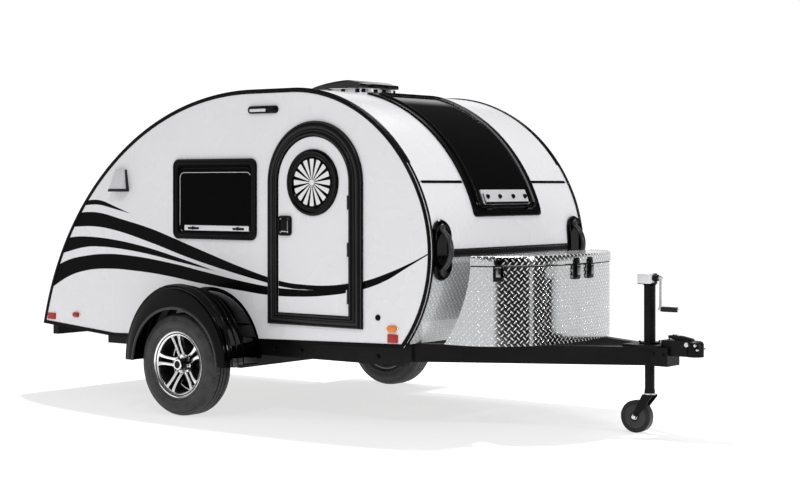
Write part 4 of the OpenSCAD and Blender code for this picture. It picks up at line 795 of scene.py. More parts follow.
# %% Grab handles
handle_y, handle_z = 0.700, 1.018

def on_nose(y, z, out):
    """A point on the lower front curve of the right half, out from the surface."""
    angle = math.asin((z - nose_c[1]) / nose_r)
    return at(nose_c[0] + (nose_r + out) * math.cos(angle), y,
              nose_c[1] + (nose_r + out) * math.sin(angle))

def stadium(width, height, steps=12):
    r = width / 2
    h = height / 2 - r
    return arc((0, h), r, 0, 180, steps) + arc((0, -h), r, 180, 360, steps)

def handle_base(bm):
    place = lambda a_, b_, out: on_nose(-handle_y + a_, handle_z + b_, out)
    sweep(bm, stadium(0.142, 0.314),
          [(0.0, 0.0), (-0.0095, 0.004), (-0.011, 0.014), (-0.004, 0.022), (0.006, 0.022),
           (0.012, 0.014)], place)
    face = bm.faces.new([bm.verts.new(place(a_, b_, 0.0145)) for a_, b_ in stadium(0.128, 0.300)])
    bmesh.ops.inset_region(bm, faces=[face], thickness=0.012, depth=-0.004)

def handle_bow(bm):
    span, reach, deep = 0.128, 0.078, 0.024
    radius = (span ** 2 + reach ** 2) / (2 * reach)
    half = math.degrees(math.asin(span / radius))
    centre = (front_x(handle_z) + reach - radius, handle_z)
    oval_section = [(math.cos(t) * deep / 2, math.sin(t) * 0.021)
                    for t in [2 * math.pi * i / 16 for i in range(16)]]
    sweep(bm, arc(centre, radius - deep / 2, -half - 1, half + 1, 28), oval_section,
          lambda x, z, out: at(x, -handle_y - out, z), closed=False)
    for end in (-1, 1):
        foot = on_nose(-handle_y, handle_z + end * span * 0.96, 0.010)
        turned(bm, [(0, 0.020), (0.016, 0.018), (0.022, 0.010), (0.024, 0.0)], foot,
               (1, 0, end * 0.15), 20)

both_sides("handle_base", handle_base, gloss_black, replaces=["grab_handles"], slot="handle_black")
both_sides("handle_bow", handle_bow, bow_black, slot="handle_black")

# %% [markdown]
# The tongue box is bent from tread plate. Its outline seen from above has straight sides, round
# corners and a bowed front, and its rear follows the body's round nose. A grid is bent into that
# shape: one direction runs along the outline, the other runs up. The UV map gets real lengths,
# so that the tread keeps its size round the corners.

# %% Tread plate on the tongue box
box_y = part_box("tongue_box")[1].y
corner_r = 0.363
side_end, bow_turn = 1.7523, math.radians(16)
bow_r = (box_y - corner_r * (1 - math.sin(bow_turn))) / math.sin(bow_turn)
bow_x = side_end + (corner_r - bow_r) * math.cos(bow_turn)

def box_line(z, proud):
    """Half the outline at a height, from the right side's rear edge to the middle of the front."""
    start = nose_c[0] + 0.150 + math.sqrt(nose_r ** 2 - (z - nose_c[1]) ** 2)
    line = [(min(start, side_end) + max(0, side_end - start) * i / 8, -box_y - proud)
            for i in range(8)]
    line += arc((side_end, corner_r - box_y), corner_r + proud, -90, -16, 30)
    line += arc((bow_x, 0), bow_r + proud, -16, 0, 16)[1:]
    # High up the nose reaches past the straight side, so the line starts within the corner.
    first = math.sqrt((corner_r + proud) ** 2 - max(0, start - side_end) ** 2)
    return [(x, y) if x > start else (max(x, start), corner_r - box_y - first) for x, y in line]

def lengths(line):
    """Distances along a line, backwards from its end, so the middle of the front is zero."""
    total, out = 0.0, [0.0]
    for a_, b_ in zip(line[::-1], line[-2::-1]):
        total -= math.dist(a_, b_)
        out.append(total)
    return out[::-1]

def bent_sheet(name, levels, material, body, proud=0.0008, **more):
    """A sheet round the front; levels are heights, or (height, extra proud) for a bent edge."""
    steps = [l if isinstance(l, tuple) else (l, 0.0) for l in levels]
    bm = bmesh.new()
    count = len(box_line(steps[0][0], 0))
    bmesh.ops.create_grid(bm, x_segments=2 * count - 2, y_segments=len(steps) - 1, size=1)
    uv = bm.loops.layers.uv.new("length")
    spots = {}
    for v in bm.verts:
        column = round((v.co.x + 1) * (count - 1))
        row = round((v.co.y + 1) / 2 * (len(steps) - 1))
        z, extra = steps[row]
        line = box_line(z, proud + extra)
        side, i = (1, column) if column < count else (-1, 2 * count - 2 - column)
        x, y = line[i]
        spots[v] = (at(x, side * y, z), (side * lengths(line)[i], z + extra))
    for face in bm.faces:
        for loop in face.loops:
            loop[uv].uv = spots[loop.vert][1]
    for v, (co, _) in spots.items():
        v.co = co
    bmesh.ops.remove_doubles(bm, verts=bm.verts, dist=1e-5)
    bmesh.ops.reverse_faces(bm, faces=bm.faces)
    return piece(name, bm, material, body, recalc=False, **more)

bent_sheet("box_tread", [0.4885 + 0.0365 * i for i in range(13)], tread_uv, "trailer",
           slot="tread_plate")
bent_sheet("box_lid_tread", [(0.9335, 0.0045), (0.9355, 0.006), (0.978, 0.006), (0.9835, 0.004),
                             (0.9862, -0.002)],
           tread_uv, "box_lid", slot="tread_plate")

bent_sheet("lid_gasket", [0.9262, 0.9338], rubber_black, "trailer", proud=0.0014)

# %% [markdown]
# Draw latches hold the box's lid down. Each has a black body with a metal lever over it, and a
# keeper on the lid. The outline's normal tells how each latch is turned.

# %% Box latches
latch_spots = []
for side in (-1, 1):
    for centre, radius, degrees in (((side_end, side * (box_y - corner_r)), corner_r, 55),
                                    ((bow_x, 0), bow_r, 3.1)):
        t = math.radians(side * degrees)
        latch_spots.append((Vector((centre[0] + axle_x, centre[1], 0)), radius, t))

def on_latches(build):
    """Builds one part of a latch, facing along X, at every latch's place."""
    bm = bmesh.new()
    for centre, radius, t in latch_spots:
        turn_out = Matrix.Translation(centre) @ Matrix.Rotation(t, 4, "Z")
        placed(bm, build, turn_out @ Matrix.Translation((radius, 0, 0)))
    return bm

def latch_body(bm):
    slab(bm, Vector((0.002, -0.029, 0.846)), Vector((0.019, 0.029, 0.9268)), 0.005)
    slab(bm, Vector((0.016, -0.020, 0.862)), Vector((0.026, 0.020, 0.934)), 0.004)

def latch_lever(bm):
    slab(bm, Vector((0.022, -0.013, 0.872)), Vector((0.0295, 0.013, 0.918)), 0.003)
    rod(bm, (0.024, -0.017, 0.926), (0.024, 0.017, 0.926), 0.004, 0.001, 12)

def latch_keeper(bm):
    slab(bm, Vector((0.006, -0.024, 0.940)), Vector((0.016, 0.024, 0.968)), 0.004)
    slab(bm, Vector((0.012, -0.016, 0.934)), Vector((0.022, 0.016, 0.952)), 0.003)

piece("latch_bodies", on_latches(latch_body), gloss_black)
piece("latch_levers", on_latches(latch_lever), dark_metal)
piece("latch_keepers", on_latches(latch_keeper), gloss_black, "box_lid")

# %% [markdown]
# The tyre's section is turned as a whole: grooves in the tread, a rounded shoulder, and rings and
# a rim protector on the sidewall. Across the tread run fine cuts, which are part of its finish.

# %% Tyres
def both_wheels(name, build, material, **more):
    return both_sides(name, build, material, ("wheel_right", "wheel_left"), **more)

wheel_mid = Vector((axle_x, -wheel_y, wheel_z))
tyre_r = wheel_z

def tyre_profile():
    groove = 0.007
    half = [(0.0, tyre_r)]
    for middle_, wide in ((0.0, 0.004), (0.028, 0.0045)):
        edge = [(middle_ - wide, tyre_r), (middle_ - wide + 0.001, tyre_r - groove),
                (middle_ + wide - 0.001, tyre_r - groove), (middle_ + wide, tyre_r)]
        half += edge if middle_ else edge[2:]
    half[0] = (0.0, tyre_r - groove)
    half += [(0.050, tyre_r - 0.0015), (0.0585, tyre_r - 0.004), (0.068, tyre_r - 0.0095),
             (0.0755, tyre_r - 0.018),
             (0.0765, tyre_r - 0.0195), (0.0755, tyre_r - 0.0215), (0.0845, tyre_r - 0.034),
             (0.0885, tyre_r - 0.045),
             (0.0895, tyre_r - 0.046), (0.0900, tyre_r - 0.0485), (0.0920, tyre_r - 0.056),
             (0.0921, tyre_r - 0.066),
             (0.0905, tyre_r - 0.078), (0.0880, tyre_r - 0.086), (0.0890, tyre_r - 0.088),
             (0.0890, tyre_r - 0.0905),
             (0.0865, tyre_r - 0.0925), (0.0815, tyre_r - 0.101), (0.0735, tyre_r - 0.1085),
             (0.0722, 0.196), (0.0717, 0.181)]
    return [(r, -a_) for a_, r in half[::-1]] + [(r, a_) for a_, r in half[1:]]

tread = Sheet("tyre_rubber")
tx, ty, tz = tread.xyz()
tread_x, tread_z = tx - axle_x, tz - wheel_z
across = ty.abs() - wheel_y
around = tread.node("ShaderNodeMath", {"operation": "ARCTAN2"},
                    {0: tread_z, 1: tread_x}) * (72 / (2 * math.pi))
radius = (tread_x * tread_x + tread_z * tread_z)
on_tread = radius.ramp((tyre_r - 0.016) ** 2, (tyre_r - 0.009) ** 2)
sipes = ((around + across * 9.0
          + (across * 36.0).floor() * 0.37).fract() - 0.5).abs().ramp(0.34, 0.42, 0.0, 1.0)
lugs = on_tread * sipes
# The sidewall is darker in thin rings at the grooves' radii: painted shade in the grooves.
rings = 1.0
for shade_ring_r, wide in ((0.291, 0.0025), (0.262, 0.0018), (0.246, 0.0040), (0.214, 0.0030)):
    rings = (radius.op("SQRT") - shade_ring_r).abs().ramp(wide * 0.4, wide, 0.45, 1.0) * rings
dust = tread.noise(18.0, 4.0)
tread.set(base_color=tread.mix(dust.ramp(0.3, 0.7) * rings, (0.014, 0.014, 0.014),
                               (0.046, 0.046, 0.046)))
tread.set(roughness=dust.ramp(0.3, 0.7, 0.55, 0.75))
tread.bump(1.0 - lugs + tread.noise(500.0, 2.0) * 0.06, 0.004)

both_wheels("tyre_tread", lambda bm: turned(bm, tyre_profile(), wheel_mid, out_dir, 144),
            tread.material,
            replaces=["tyre_right", "tyre_left"], slot="tyre", angle=50)

# %% [markdown]
# The wheel has five pairs of spokes. One pair is modelled as a closed shape, with its edges
# bevelled so that they catch light, and spun round with copies. The face is machined bright and
# the pockets are dark, so spokes and barrel are separate pieces.

# %% Alloy wheels
dark_alloy = metal("dark_alloy", (0.16, 0.16, 0.165), 0.35, 0.06, 60.0)

def wheel_barrel(bm):
    profile = [(0.1835, -0.0715), (0.196, -0.0735), (0.198, -0.075), (0.190, -0.075),
               (0.170, -0.060), (0.168, 0.030),
               (0.1705, 0.055), (0.1725, 0.0640)]
    turned(bm, profile, wheel_mid, out_dir, 96)

def wheel_lip(bm):
    profile = [(0.1710, 0.0600), (0.1730, 0.0655), (0.1790, 0.0695), (0.1880, 0.0715),
               (0.1925, 0.0735), (0.1965, 0.0772),
               (0.1985, 0.0765), (0.1990, 0.0735), (0.1960, 0.0720), (0.1830, 0.0700)]
    turned(bm, profile, wheel_mid, out_dir, 96)

def spoke_height(r):
    """The face's height off the wheel's middle plane: it dishes towards the hub."""
    return 0.0310 + 0.0360 * min(1, max(0, (r - 0.045) / 0.125)) ** 0.9

def wheel_spokes(bm):
    """Two spokes that run nearly parallel and flare into the lip."""
    start = math.radians(100)
    for side in (-1, 1):
        inner = [(0.044, 0.0085), (0.080, 0.0090), (0.120, 0.0105), (0.150, 0.0130),
                 (0.1745, 0.0170)]
        outer = [(0.1745, 0.0450), (0.150, 0.0340), (0.120, 0.0285), (0.080, 0.0270),
                 (0.058, 0.0290), (0.040, 0.0300)]
        loop_ = inner + outer
        top = []
        for r, across_ in loop_:
            spot = wheel_mid + Vector((r * math.cos(start) - side * across_ * math.sin(start),
                                       -spoke_height(r),
                                       r * math.sin(start) + side * across_ * math.cos(start)))
            top.append(bm.verts.new(spot))
        face = bm.faces.new(top)
        grown = bmesh.ops.extrude_face_region(bm, geom=[face])["geom"]
        bmesh.ops.translate(bm, vec=(0, 0.034, 0), verts=only(bmesh.types.BMVert, grown))
        rim_edges = [e for e in bm.edges if e.verts[0] in top and e.verts[1] in top]
        soften(bm, rim_edges, 0.0030, 2)
    bmesh.ops.spin(bm, geom=bm.verts[:] + bm.edges[:] + bm.faces[:], cent=wheel_mid, axis=(0, 1, 0),
                   angle=2 * math.pi,
                   steps=5, use_duplicate=True)

def wheel_hub(bm):
    turned(bm, [(0.0, 0.0300), (0.036, 0.0300), (0.040, 0.0325), (0.057, 0.0320), (0.0615, 0.0280),
                (0.0630, -0.010)],
           wheel_mid, out_dir, 64)

def wheel_cap(bm):
    """The grease cap of the hub, which stands through the middle of the wheel."""
    turned(bm, [(0.0, 0.0780), (0.0210, 0.0780), (0.0225, 0.0765), (0.0320, 0.0765),
                (0.0345, 0.0735), (0.0345, 0.0520),
                (0.0365, 0.0500), (0.0365, 0.0290)], wheel_mid, out_dir, 48)

def cap_ring(bm):
    turned(bm, [(0.0222, 0.0762), (0.0232, 0.0785), (0.0300, 0.0785), (0.0325, 0.0765),
                (0.0325, 0.0755)], wheel_mid, out_dir, 48)

def wheel_bolts(bm):
    for i in range(5):
        t = math.radians(100 + 36 + 72 * i)
        spot = wheel_mid + Vector((0.0490 * math.cos(t), -0.0315, 0.0490 * math.sin(t)))
        turned(bm, [(0, 0.0140), (0.0050, 0.0140), (0.0085, 0.0115), (0.0090, 0.0)], spot, out_dir,
               6)

def wheel_back(bm):
    """The brake drum and its backing plate, which close the wheel from behind."""
    turned(bm, [(0.0, -0.0200), (0.104, -0.0200), (0.112, -0.0240), (0.1140, -0.0420),
                (0.1200, -0.0460), (0.1645, -0.0560),
                (0.1660, -0.0600), (0.0, -0.0600)], wheel_mid, out_dir, 64)

both_wheels("wheel_back", wheel_back, powder_black, slot="alloy")
both_wheels("wheel_barrel", wheel_barrel, dark_alloy, replaces=["rim_right", "rim_left"],
            slot="alloy")
both_wheels("wheel_lip", wheel_lip, machined, slot="alloy")
both_wheels("wheel_spokes", wheel_spokes, machined, slot="alloy", angle=25)
both_wheels("wheel_hub", wheel_hub, machined, slot="alloy")
both_wheels("wheel_cap", wheel_cap, gloss_black)
both_wheels("cap_ring", cap_ring, machined)
both_wheels("wheel_bolts", wheel_bolts, zinc, angle=20)

# %% [markdown]
# The front window is a moulded pane in a raised black frame, with a sash line and a latch bar at
# its foot. All of them follow the body's front curves, so one helper lays an outline given across
# and along the body onto those curves.

# %% Front window details
def on_front(y, along, out):
    """A point on the front, along metres down from the start of the upper front curve."""
    if along < crown_r * turn:
        t = math.pi / 2 - along / crown_r
        return at(crown_c[0] + (crown_r + out) * math.cos(t), y,
                  crown_c[1] + (crown_r + out) * math.sin(t))
    t = math.pi / 2 - turn - (along - crown_r * turn) / nose_r
    return at(nose_c[0] + (nose_r + out) * math.cos(t), y, nose_c[1] + (nose_r + out) * math.sin(t))

def along_at(z):
    """How far along the front a height on the lower curve lies."""
    return crown_r * turn + nose_r * (math.pi / 2 - turn - math.asin((z - nose_c[1]) / nose_r))

glazing_top = crown_r * math.asin((0.850 - crown_c[0]) / crown_r)
glazing_low = along_at(1.197)

def fine_rect(half, top, low, r):
    """A round-cornered outline across and along the front, with short steps so that it bends."""
    line = []
    corners = ((-half, low, 180, 270), (half, low, 270, 360), (half, top, 0, 90),
               (-half, top, 90, 180))
    for i, (y, a_, start, end) in enumerate(corners):
        cy, ca = y - math.copysign(r, y), a_ + (r if a_ == top else -r)
        turns = [math.radians(start + (end - start) * k / 6) for k in range(7)]
        line += [(cy + r * math.cos(t), ca - r * math.sin(t)) for t in turns]
    dense = []
    for p, q in zip(line, line[1:] + line[:1]):
        count = max(1, round(math.dist(p, q) / 0.05))
        dense += [(p[0] + (q[0] - p[0]) * k / count, p[1] + (q[1] - p[1]) * k / count)
                  for k in range(count)]
    return dense

def front_loop(bm, half, inset, r, out):
    """A closed loop of edges round the window, inset from its outline and lifted off the skin."""
    top, low, line = glazing_top + inset, glazing_low - inset, []
    corners = ((-half, low, 180, 8), (half, low, 270, 40), (half, top, 0, 8), (-half, top, 90, 40))
    for y, a_, start, _ in corners:
        centre = (y - math.copysign(r, y), a_ + (r if a_ == top else -r))
        line.append([(p, 2 * centre[1] - q) for p, q in arc(centre, r, start, start + 90, 6)])
    spots = []
    for i, (corner, (_, _, _, count)) in enumerate(zip(line, corners)):
        p, q = corner[-1], line[(i + 1) % 4][0]
        spots += corner + [(p[0] + (q[0] - p[0]) * k / count, p[1] + (q[1] - p[1]) * k / count)
                           for k in range(1, count)]
    made = [bm.verts.new(on_front(y, a_, out)) for y, a_ in spots]
    return [bm.edges.new((made[k - 1], made[k])) for k in range(len(made))]

def window_surround(bm):
    """The window's raised black frame, with round corners outside and inside."""
    rings = [front_loop(bm, *ring) for ring in (
        (0.295, 0.055, 0.030, -0.002), (0.295, 0.055, 0.030, 0.0100),
        (0.2975, 0.0525, 0.030, 0.0125),
        (0.3475, 0.0025, 0.0225, 0.0125), (0.350, 0.0, 0.025, 0.0095), (0.350, 0.0, 0.025, -0.002))]
    for one, two in zip(rings, rings[1:] + rings[:1]):
        bmesh.ops.bridge_loops(bm, edges=one + two)

def front_sash(bm):
    for half, inset, wide, high, base in ((0.344, 0.006, 0.012, 0.003, 0.012),
                                          (0.301, 0.049, 0.014, 0.013, 0.012),
                                          (0.278, 0.070, 0.012, 0.005, 0.010)):
        sweep(bm, fine_rect(half, glazing_top + inset, glazing_low - inset, 0.04), bead(wide, high),
              lambda a_, b_, out: on_front(a_, b_, out + base))

def front_bar(bm):
    low, high = along_at(1.262), along_at(1.346)
    for grow, base in ((0.0, 0.010), (-0.014, 0.017)):
        grid = [[bm.verts.new(on_front(y, a_, base))
                 for a_ in (high - grow, (low + high) / 2, low + grow)]
                for y in (-0.235 - grow, 0.235 + grow)]
        faces = [bm.faces.new((grid[0][i], grid[0][i + 1], grid[1][i + 1], grid[1][i]))
                 for i in range(2)]
        top = bmesh.ops.extrude_face_region(bm, geom=faces)["geom"]
        middle_ = on_front(0, (low + high) / 2, 1) - on_front(0, (low + high) / 2, 0)
        bmesh.ops.translate(bm, vec=middle_ * 0.007, verts=only(bmesh.types.BMVert, top))

def front_catches(bm):
    along = along_at(1.304)
    out = on_front(0, along, 1) - on_front(0, along, 0)
    for y in (-0.195, -0.070, 0.070, 0.195):
        turned(bm, [(0, 0.014), (0.010, 0.013), (0.014, 0.008), (0.015, 0)],
               on_front(y, along, 0.022), out, 20)
    for y in (-0.215, 0.215):
        rod(bm, on_front(y - 0.030, along_at(1.240), 0.018),
            on_front(y + 0.030, along_at(1.240), 0.018), 0.012, 0.004)

def sash_edges(bm):
    """The bevelled edges of the pane, which slope in; their light grey is a painted reflection."""
    for side in (-1, 1):
        path = [(side * 0.293, glazing_top + 0.09 + (glazing_low - glazing_top - 0.16) * i / 40)
                for i in range(41)]
        sweep(bm, path, [(0.0, 0.0), (0.0, 0.010), (0.003, 0.010), (0.017, 0.0)] if side < 0
              else [(0.0, 0.0), (-0.017, 0.0), (-0.003, 0.010), (0.0, 0.010)],
              lambda a_, b_, out: on_front(a_, b_, out + 0.0105), closed=False)

def seam_strips(bm):
    """The joint between the two front panels is covered by a narrow black strip."""
    for side in (-1, 1):
        low, high = sorted((side * 0.366, side * 0.748))
        path = [(low, along_at(1.398)), (high, along_at(1.398))]
        sweep(bm, path, bead(0.018, 0.004), lambda a_, b_, out: on_front(a_, b_, out + 0.0006),
              closed=False)

# The edges' light grey is a painted reflection of the bright room on the acrylic.
acrylic_painted_reflection = Sheet("acrylic_painted_reflection", coat_weight=0.5, coat_roughness=0.05, specular_ior_level=0.3)
acrylic_painted_reflection.set(base_color=acrylic_painted_reflection.mix(acrylic_painted_reflection.noise(3.0), (0.16, 0.16, 0.16),
                                             (0.34, 0.34, 0.34)), roughness=0.2)

one_piece("window_surround", window_surround, moulding_black, slot="trim_black",
          replaces=["front_window_frame"])
one_piece("front_sash", front_sash, moulding_black, slot="trim_black")
one_piece("front_bar", front_bar, brushed)
one_piece("front_catches", front_catches, gloss_black)
one_piece("sash_edges", sash_edges, acrylic_painted_reflection.material)
one_piece("seam_strips", seam_strips, moulding_black, slot="trim_black")

# %% [markdown]
# The belt moulding across the nose has two ribs. The nose is straight from side to side, so a
# round bar half sunk in the moulding makes each of them.

# %% Belt ribs
def belt_ribs(bm):
    half_width, out = 0.602, 0.0105
    for z in (0.985, 1.014):
        rod(bm, at(front_x(z) + out, -half_width, z), at(front_x(z) + out, half_width, z), 0.006,
            0.002, 16)

# The ribs get the ridges' lighter black, as a painted highlight.
one_piece("belt_ribs", belt_ribs, ridge_highlight_black)

# %% [markdown]
# The fender is a glossy moulding with bands on its crown. The solid gives its section. A copy of
# it is merged and drawn in a little: the outline gets narrower towards its feet and the opening
# lower at its top, so that its side is deep over the wheel. The beads between the bands and the
# rolled lip of the opening are swept first and then drawn in by the same rule.

# %% Fenders
fender_z, fender_out = 0.328, -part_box("fender_right")[0].y
opening_r, crown_top_r = 0.3495, 0.452

def drawn_in(bm):
    """Moves every point of a fender from the solid's round shape to the finished one."""
    for v in bm.verts:
        x, z = v.co.x - axle_x, v.co.z - fender_z
        share = min(1, max(0, (math.hypot(x, z) - opening_r) / (crown_top_r - opening_r)))
        side = min(1, max(0, (-v.co.y - wall_y) / (fender_out - wall_y)))
        x *= 1 - share * (0.045 + 0.035 * side)
        z *= 1 - 0.085 * (1 - share)
        v.co.x, v.co.z = x + axle_x, z + fender_z - 0.012 * (1 - min(1, max(0, z / 0.40)))

def fender_shell(bm):
    bm.from_mesh(nodes["fender_right"].data)
    bmesh.ops.remove_doubles(bm, verts=bm.verts, dist=0.00002)
    drawn_in(bm)

def fender_ring(bm, radius, across, section, steps=64):
    """A section swept over the fender's half circle; across is the distance from the middle."""
    sweep(bm, arc((0.0, fender_z), radius, 0, 180, steps), section,
          lambda x, z, out: at(x, -across - out, z), closed=False)

def fender_beads(bm):
    fender_ring(bm, 0.4450, fender_out - 0.0115, round_section(0.0085))
    fender_ring(bm, 0.4565, fender_out - 0.058, round_section(0.0052))
    fender_ring(bm, 0.4465, fender_out - 0.113, round_section(0.0052))
    fender_ring(bm, 0.4375, fender_out - 0.166, round_section(0.0045))
    sweep(bm, arc((0.0, fender_z), 0.4185, 4, 176, 64),
          [(0.0, 0.0), (0.0, 0.004), (-0.018, 0.004), (-0.018, 0.0)],
          on_wall(0.0), closed=False)
    for end in (-1, 1):
        low = at(min(end * 0.350, end * 0.448), -(fender_out - 0.008), fender_z)
        high = at(max(end * 0.350, end * 0.448), -(wall_y + 0.004), fender_z + 0.006)
        slab(bm, low, high, 0.002)
    drawn_in(bm)

def fender_lip(bm):
    fender_ring(bm, 0.3495, fender_out - 0.0015, round_section(0.0085))
    drawn_in(bm)

both_sides("fender_shell", fender_shell, gloss_black, slot="fender_black", recalc=False,
           replaces=["fender_right", "fender_left"])
both_sides("fender_beads", fender_beads, gloss_black, slot="fender_black")
# The lip's lighter grey is a painted highlight along the rolled edge of the opening.
both_sides("fender_lip", fender_lip, grey_rubber_and_lip_highlight, slot="fender_black")

# %% [markdown]
# The roof vent's lid is a smoked moulding. Its top rises from the rear in a long curve to a ridge
# and drops to a low front wall, where it hinges on a bar over two brackets. A side view of it is
# pulled across, its edges are rounded, and the underside is hollowed.

# %% Roof vent lid
vent_mid, vent_z, vent_half = -0.207, 1.982, 0.194
lid_view = [(-vent_half, 0.0), (vent_half, 0.0), (vent_half, 0.024), (0.150, 0.034),
            (0.115, 0.0445), (0.094, 0.048),
            (0.060, 0.0475), (0.0, 0.043), (-0.080, 0.033), (-0.150, 0.019), (-vent_half, 0.008)]
bm = bmesh.new()
face = bm.faces.new([bm.verts.new((vent_mid + x, -vent_half, vent_z + z)) for x, z in lid_view])
pulled = bmesh.ops.extrude_face_region(bm, geom=[face])["geom"]
bmesh.ops.translate(bm, vec=(0, 2 * vent_half, 0), verts=only(bmesh.types.BMVert, pulled))
bmesh.ops.recalc_face_normals(bm, faces=bm.faces)
under = min(bm.faces, key=lambda f: f.calc_center_median().z)
bmesh.ops.inset_region(bm, faces=[under], thickness=0.006)
bmesh.ops.translate(bm, vec=(0, 0, 0.006), verts=under.verts[:])
sharp = [e for e in bm.edges
         if len(e.link_faces) == 2 and e.calc_face_angle(0) > 0.6 and e.calc_length() > 0.03
         and min(v.co.z for v in e.verts) > vent_z + 0.001]
soften(bm, sharp, 0.004, 3)
hinge_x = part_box("roof_vent_lid")[1].x - 0.005
rod(bm, (hinge_x, -0.110, vent_z), (hinge_x, 0.110, vent_z), 0.005, 0.001, 16)
for y in (-0.075, 0.075):
    slab(bm, (vent_mid + vent_half - 0.010, y - 0.012, vent_z - 0.001),
         (hinge_x + 0.002, y + 0.012, vent_z + 0.012), 0.003)
piece("vent_lid", bm, smoked, "vent_lid", replaces=["roof_vent_lid"], slot="vent_smoked")

bm = bmesh.new()
for x, y in ((0.165, -0.186), (0.186, -0.150), (0.186, -0.030), (0.186, 0.055), (0.186, 0.150),
             (-0.060, -0.184), (0.050, -0.184)):
    slab(bm, (vent_mid + x - 0.010, y - 0.010, vent_z - 0.032),
         (vent_mid + x + 0.010, y + 0.010, vent_z - 0.0065), 0.002)
piece("vent_clips", bm, gloss_black)

# %% [markdown]
# The tail lamps stand upright beside the hatch, one on each side. The rear is a long curve, so
# each lens is laid on it: a slab is placed at the curve's height and tilted to its slope.

# %% Tail lamps
def tail_lamp(bm):
    slab(bm, (-0.012, -0.075, -0.035), (0.004, 0.075, 0.035), 0.005, 3)

lamp_z, lamp_y = 0.565, 0.635
lean = Matrix.Rotation(math.asin((lamp_z - rear_c[1]) / rear_r), 4, "Y")
bm = bmesh.new()
for side in (-1, 1):
    placed(bm, tail_lamp,
           Matrix.Translation(at(rear_x(lamp_z) - 0.0005, side * lamp_y, lamp_z)) @ lean)
piece("tail_lamps", bm, lens_red, slot="lens_red")

# %% [markdown]
# The vent hood on the right wall is a small cowl, wider and deeper at its foot than at its top.
# It is a cube with its upper and lower corners moved, and its edges rounded. Its plastic is painted
# a darker grey than the body, as painted shade. A black gasket closes its foot, and a black strip
# on its front edge is partly gasket and partly painted shade, so the same form is used again with
# other corners.

# %% Vent hood
hood_low, hood_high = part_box("vent_hood")

def cowl(bm, foot, top, bevel):
    """A cube whose foot and top are given as rear, front, depth and height."""
    bmesh.ops.create_cube(bm, size=1.0)
    for v in bm.verts:
        rear, front, deep, height = top if v.co.z > 0 else foot
        v.co = (front if v.co.x > 0 else rear, -wall_y - (deep if v.co.y < 0 else 0.0), height)
    soften(bm, bm.edges[:], bevel, 3)

hood_x, hood_deep = hood_high.x, -wall_y - hood_low.y

def vent_cowl(bm):
    cowl(bm, (hood_x - 0.128, hood_x, hood_deep * 0.80, hood_low.z + 0.006),
         (hood_x - 0.100, hood_x - 0.022, hood_deep * 0.36, hood_high.z), 0.004)

def foot_gasket(bm):
    cowl(bm, (hood_x - 0.130, hood_x + 0.001, hood_deep * 0.82, hood_low.z),
         (hood_x - 0.127, hood_x, hood_deep * 0.82, hood_low.z + 0.018), 0.002)

# The black strip on the front edge is partly a gasket and partly painted shade on the hood's right
# face.
def edge_gasket_and_shade(bm):
    cowl(bm, (hood_x - 0.010, hood_x + 0.003, hood_deep * 0.34, hood_low.z + 0.008),
         (hood_x - 0.032, hood_x - 0.018, hood_deep * 0.22, hood_high.z - 0.002), 0.002)

def hood_gasket_and_shade(bm):
    foot_gasket(bm)
    placed(bm, edge_gasket_and_shade)

one_piece("vent_cowl", vent_cowl, hood_painted_shade, slot="wall_white", replaces=["vent_hood"])
one_piece("hood_gasket_and_shade", hood_gasket_and_shade, rubber_black)

# %% [markdown]
# Small parts of the chassis: bolts with washers on the rails, the head and the jack's flange, and
# the coupler's pins with its lever. One helper makes a hexagon bolt, facing any way.

# %% Chassis bolts
def bolt(bm, spot, out, size=0.011):
    out = Vector(out).normalized()
    turned(bm, [(0, 0.002), (size * 1.5, 0.002), (size * 1.5, 0)], spot, out, 20)
    turned(bm, [(0, size), (size * 0.8, size), (size, size * 0.8), (size, 0)],
           Vector(spot) + out * 0.002, out, 6)

rail_y = -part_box("side_rails")[0].y
head_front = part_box("coupler")[1].x
jack_mid = Vector((middle("jack_leg", 0), 0, 0))
rail_bolts_x, rail_bolts_z = (0.31, 0.47, 0.68, 1.25), 0.405
head_bolts_back, head_bolts_y, head_bolts_z = (0.21, 0.27), 0.070, 0.450
flange_bolt, flange_z = 0.040, 0.510

def chassis_bolts(bm):
    for side in (-1, 1):
        for x in rail_bolts_x:
            bolt(bm, at(x, side * rail_y, rail_bolts_z), (0, side, 0))
        for back in head_bolts_back:
            bolt(bm, Vector((head_front - back, side * head_bolts_y, head_bolts_z)), (0, side, 0),
                 0.009)
    for dx in (-flange_bolt, flange_bolt):
        for dy in (-flange_bolt, flange_bolt):
            bolt(bm, jack_mid + Vector((dx, dy, flange_z)), (0, 0, 1), 0.006)

def coupler_pins(bm):
    """Three pins on each side of the coupler, and its bent lever."""
    for side in (-1, 1):
        for x, z, wide in ((2.144, 0.509, 0.013), (2.1956, 0.507, 0.008), (2.2080, 0.4835, 0.006)):
            rod(bm, (x, side * 0.030, z), (x, side * 0.0505, z), wide, 0.002, 20)
    turns = [math.pi * i / 4 for i in range(8)]
    sweep(bm, arc((2.055, 0.513), 0.045, 25, 160, 18),
          [(math.cos(t) * 0.0035, math.sin(t) * 0.006) for t in turns],
          lambda x, z, out: Vector((x, out, z)), closed=False)

one_piece("chassis_bolts", chassis_bolts, powder_black, angle=20)
one_piece("coupler_pins", coupler_pins, zinc)

# %% [markdown]
# The jack is zinc and black: a black tube with black collars, a bright gear head with a dark
# cap, and a bent bright crank with a ribbed rubber grip. A ribbed grip is one profile with a
# zigzag in it, turned round the handle.

# %% Jack details
def gear_head(bm):
    slab(bm, Vector((jack_mid.x - 0.057, -0.042, 0.832)),
         Vector((jack_mid.x + 0.024, 0.042, 0.888)), 0.006, 3)

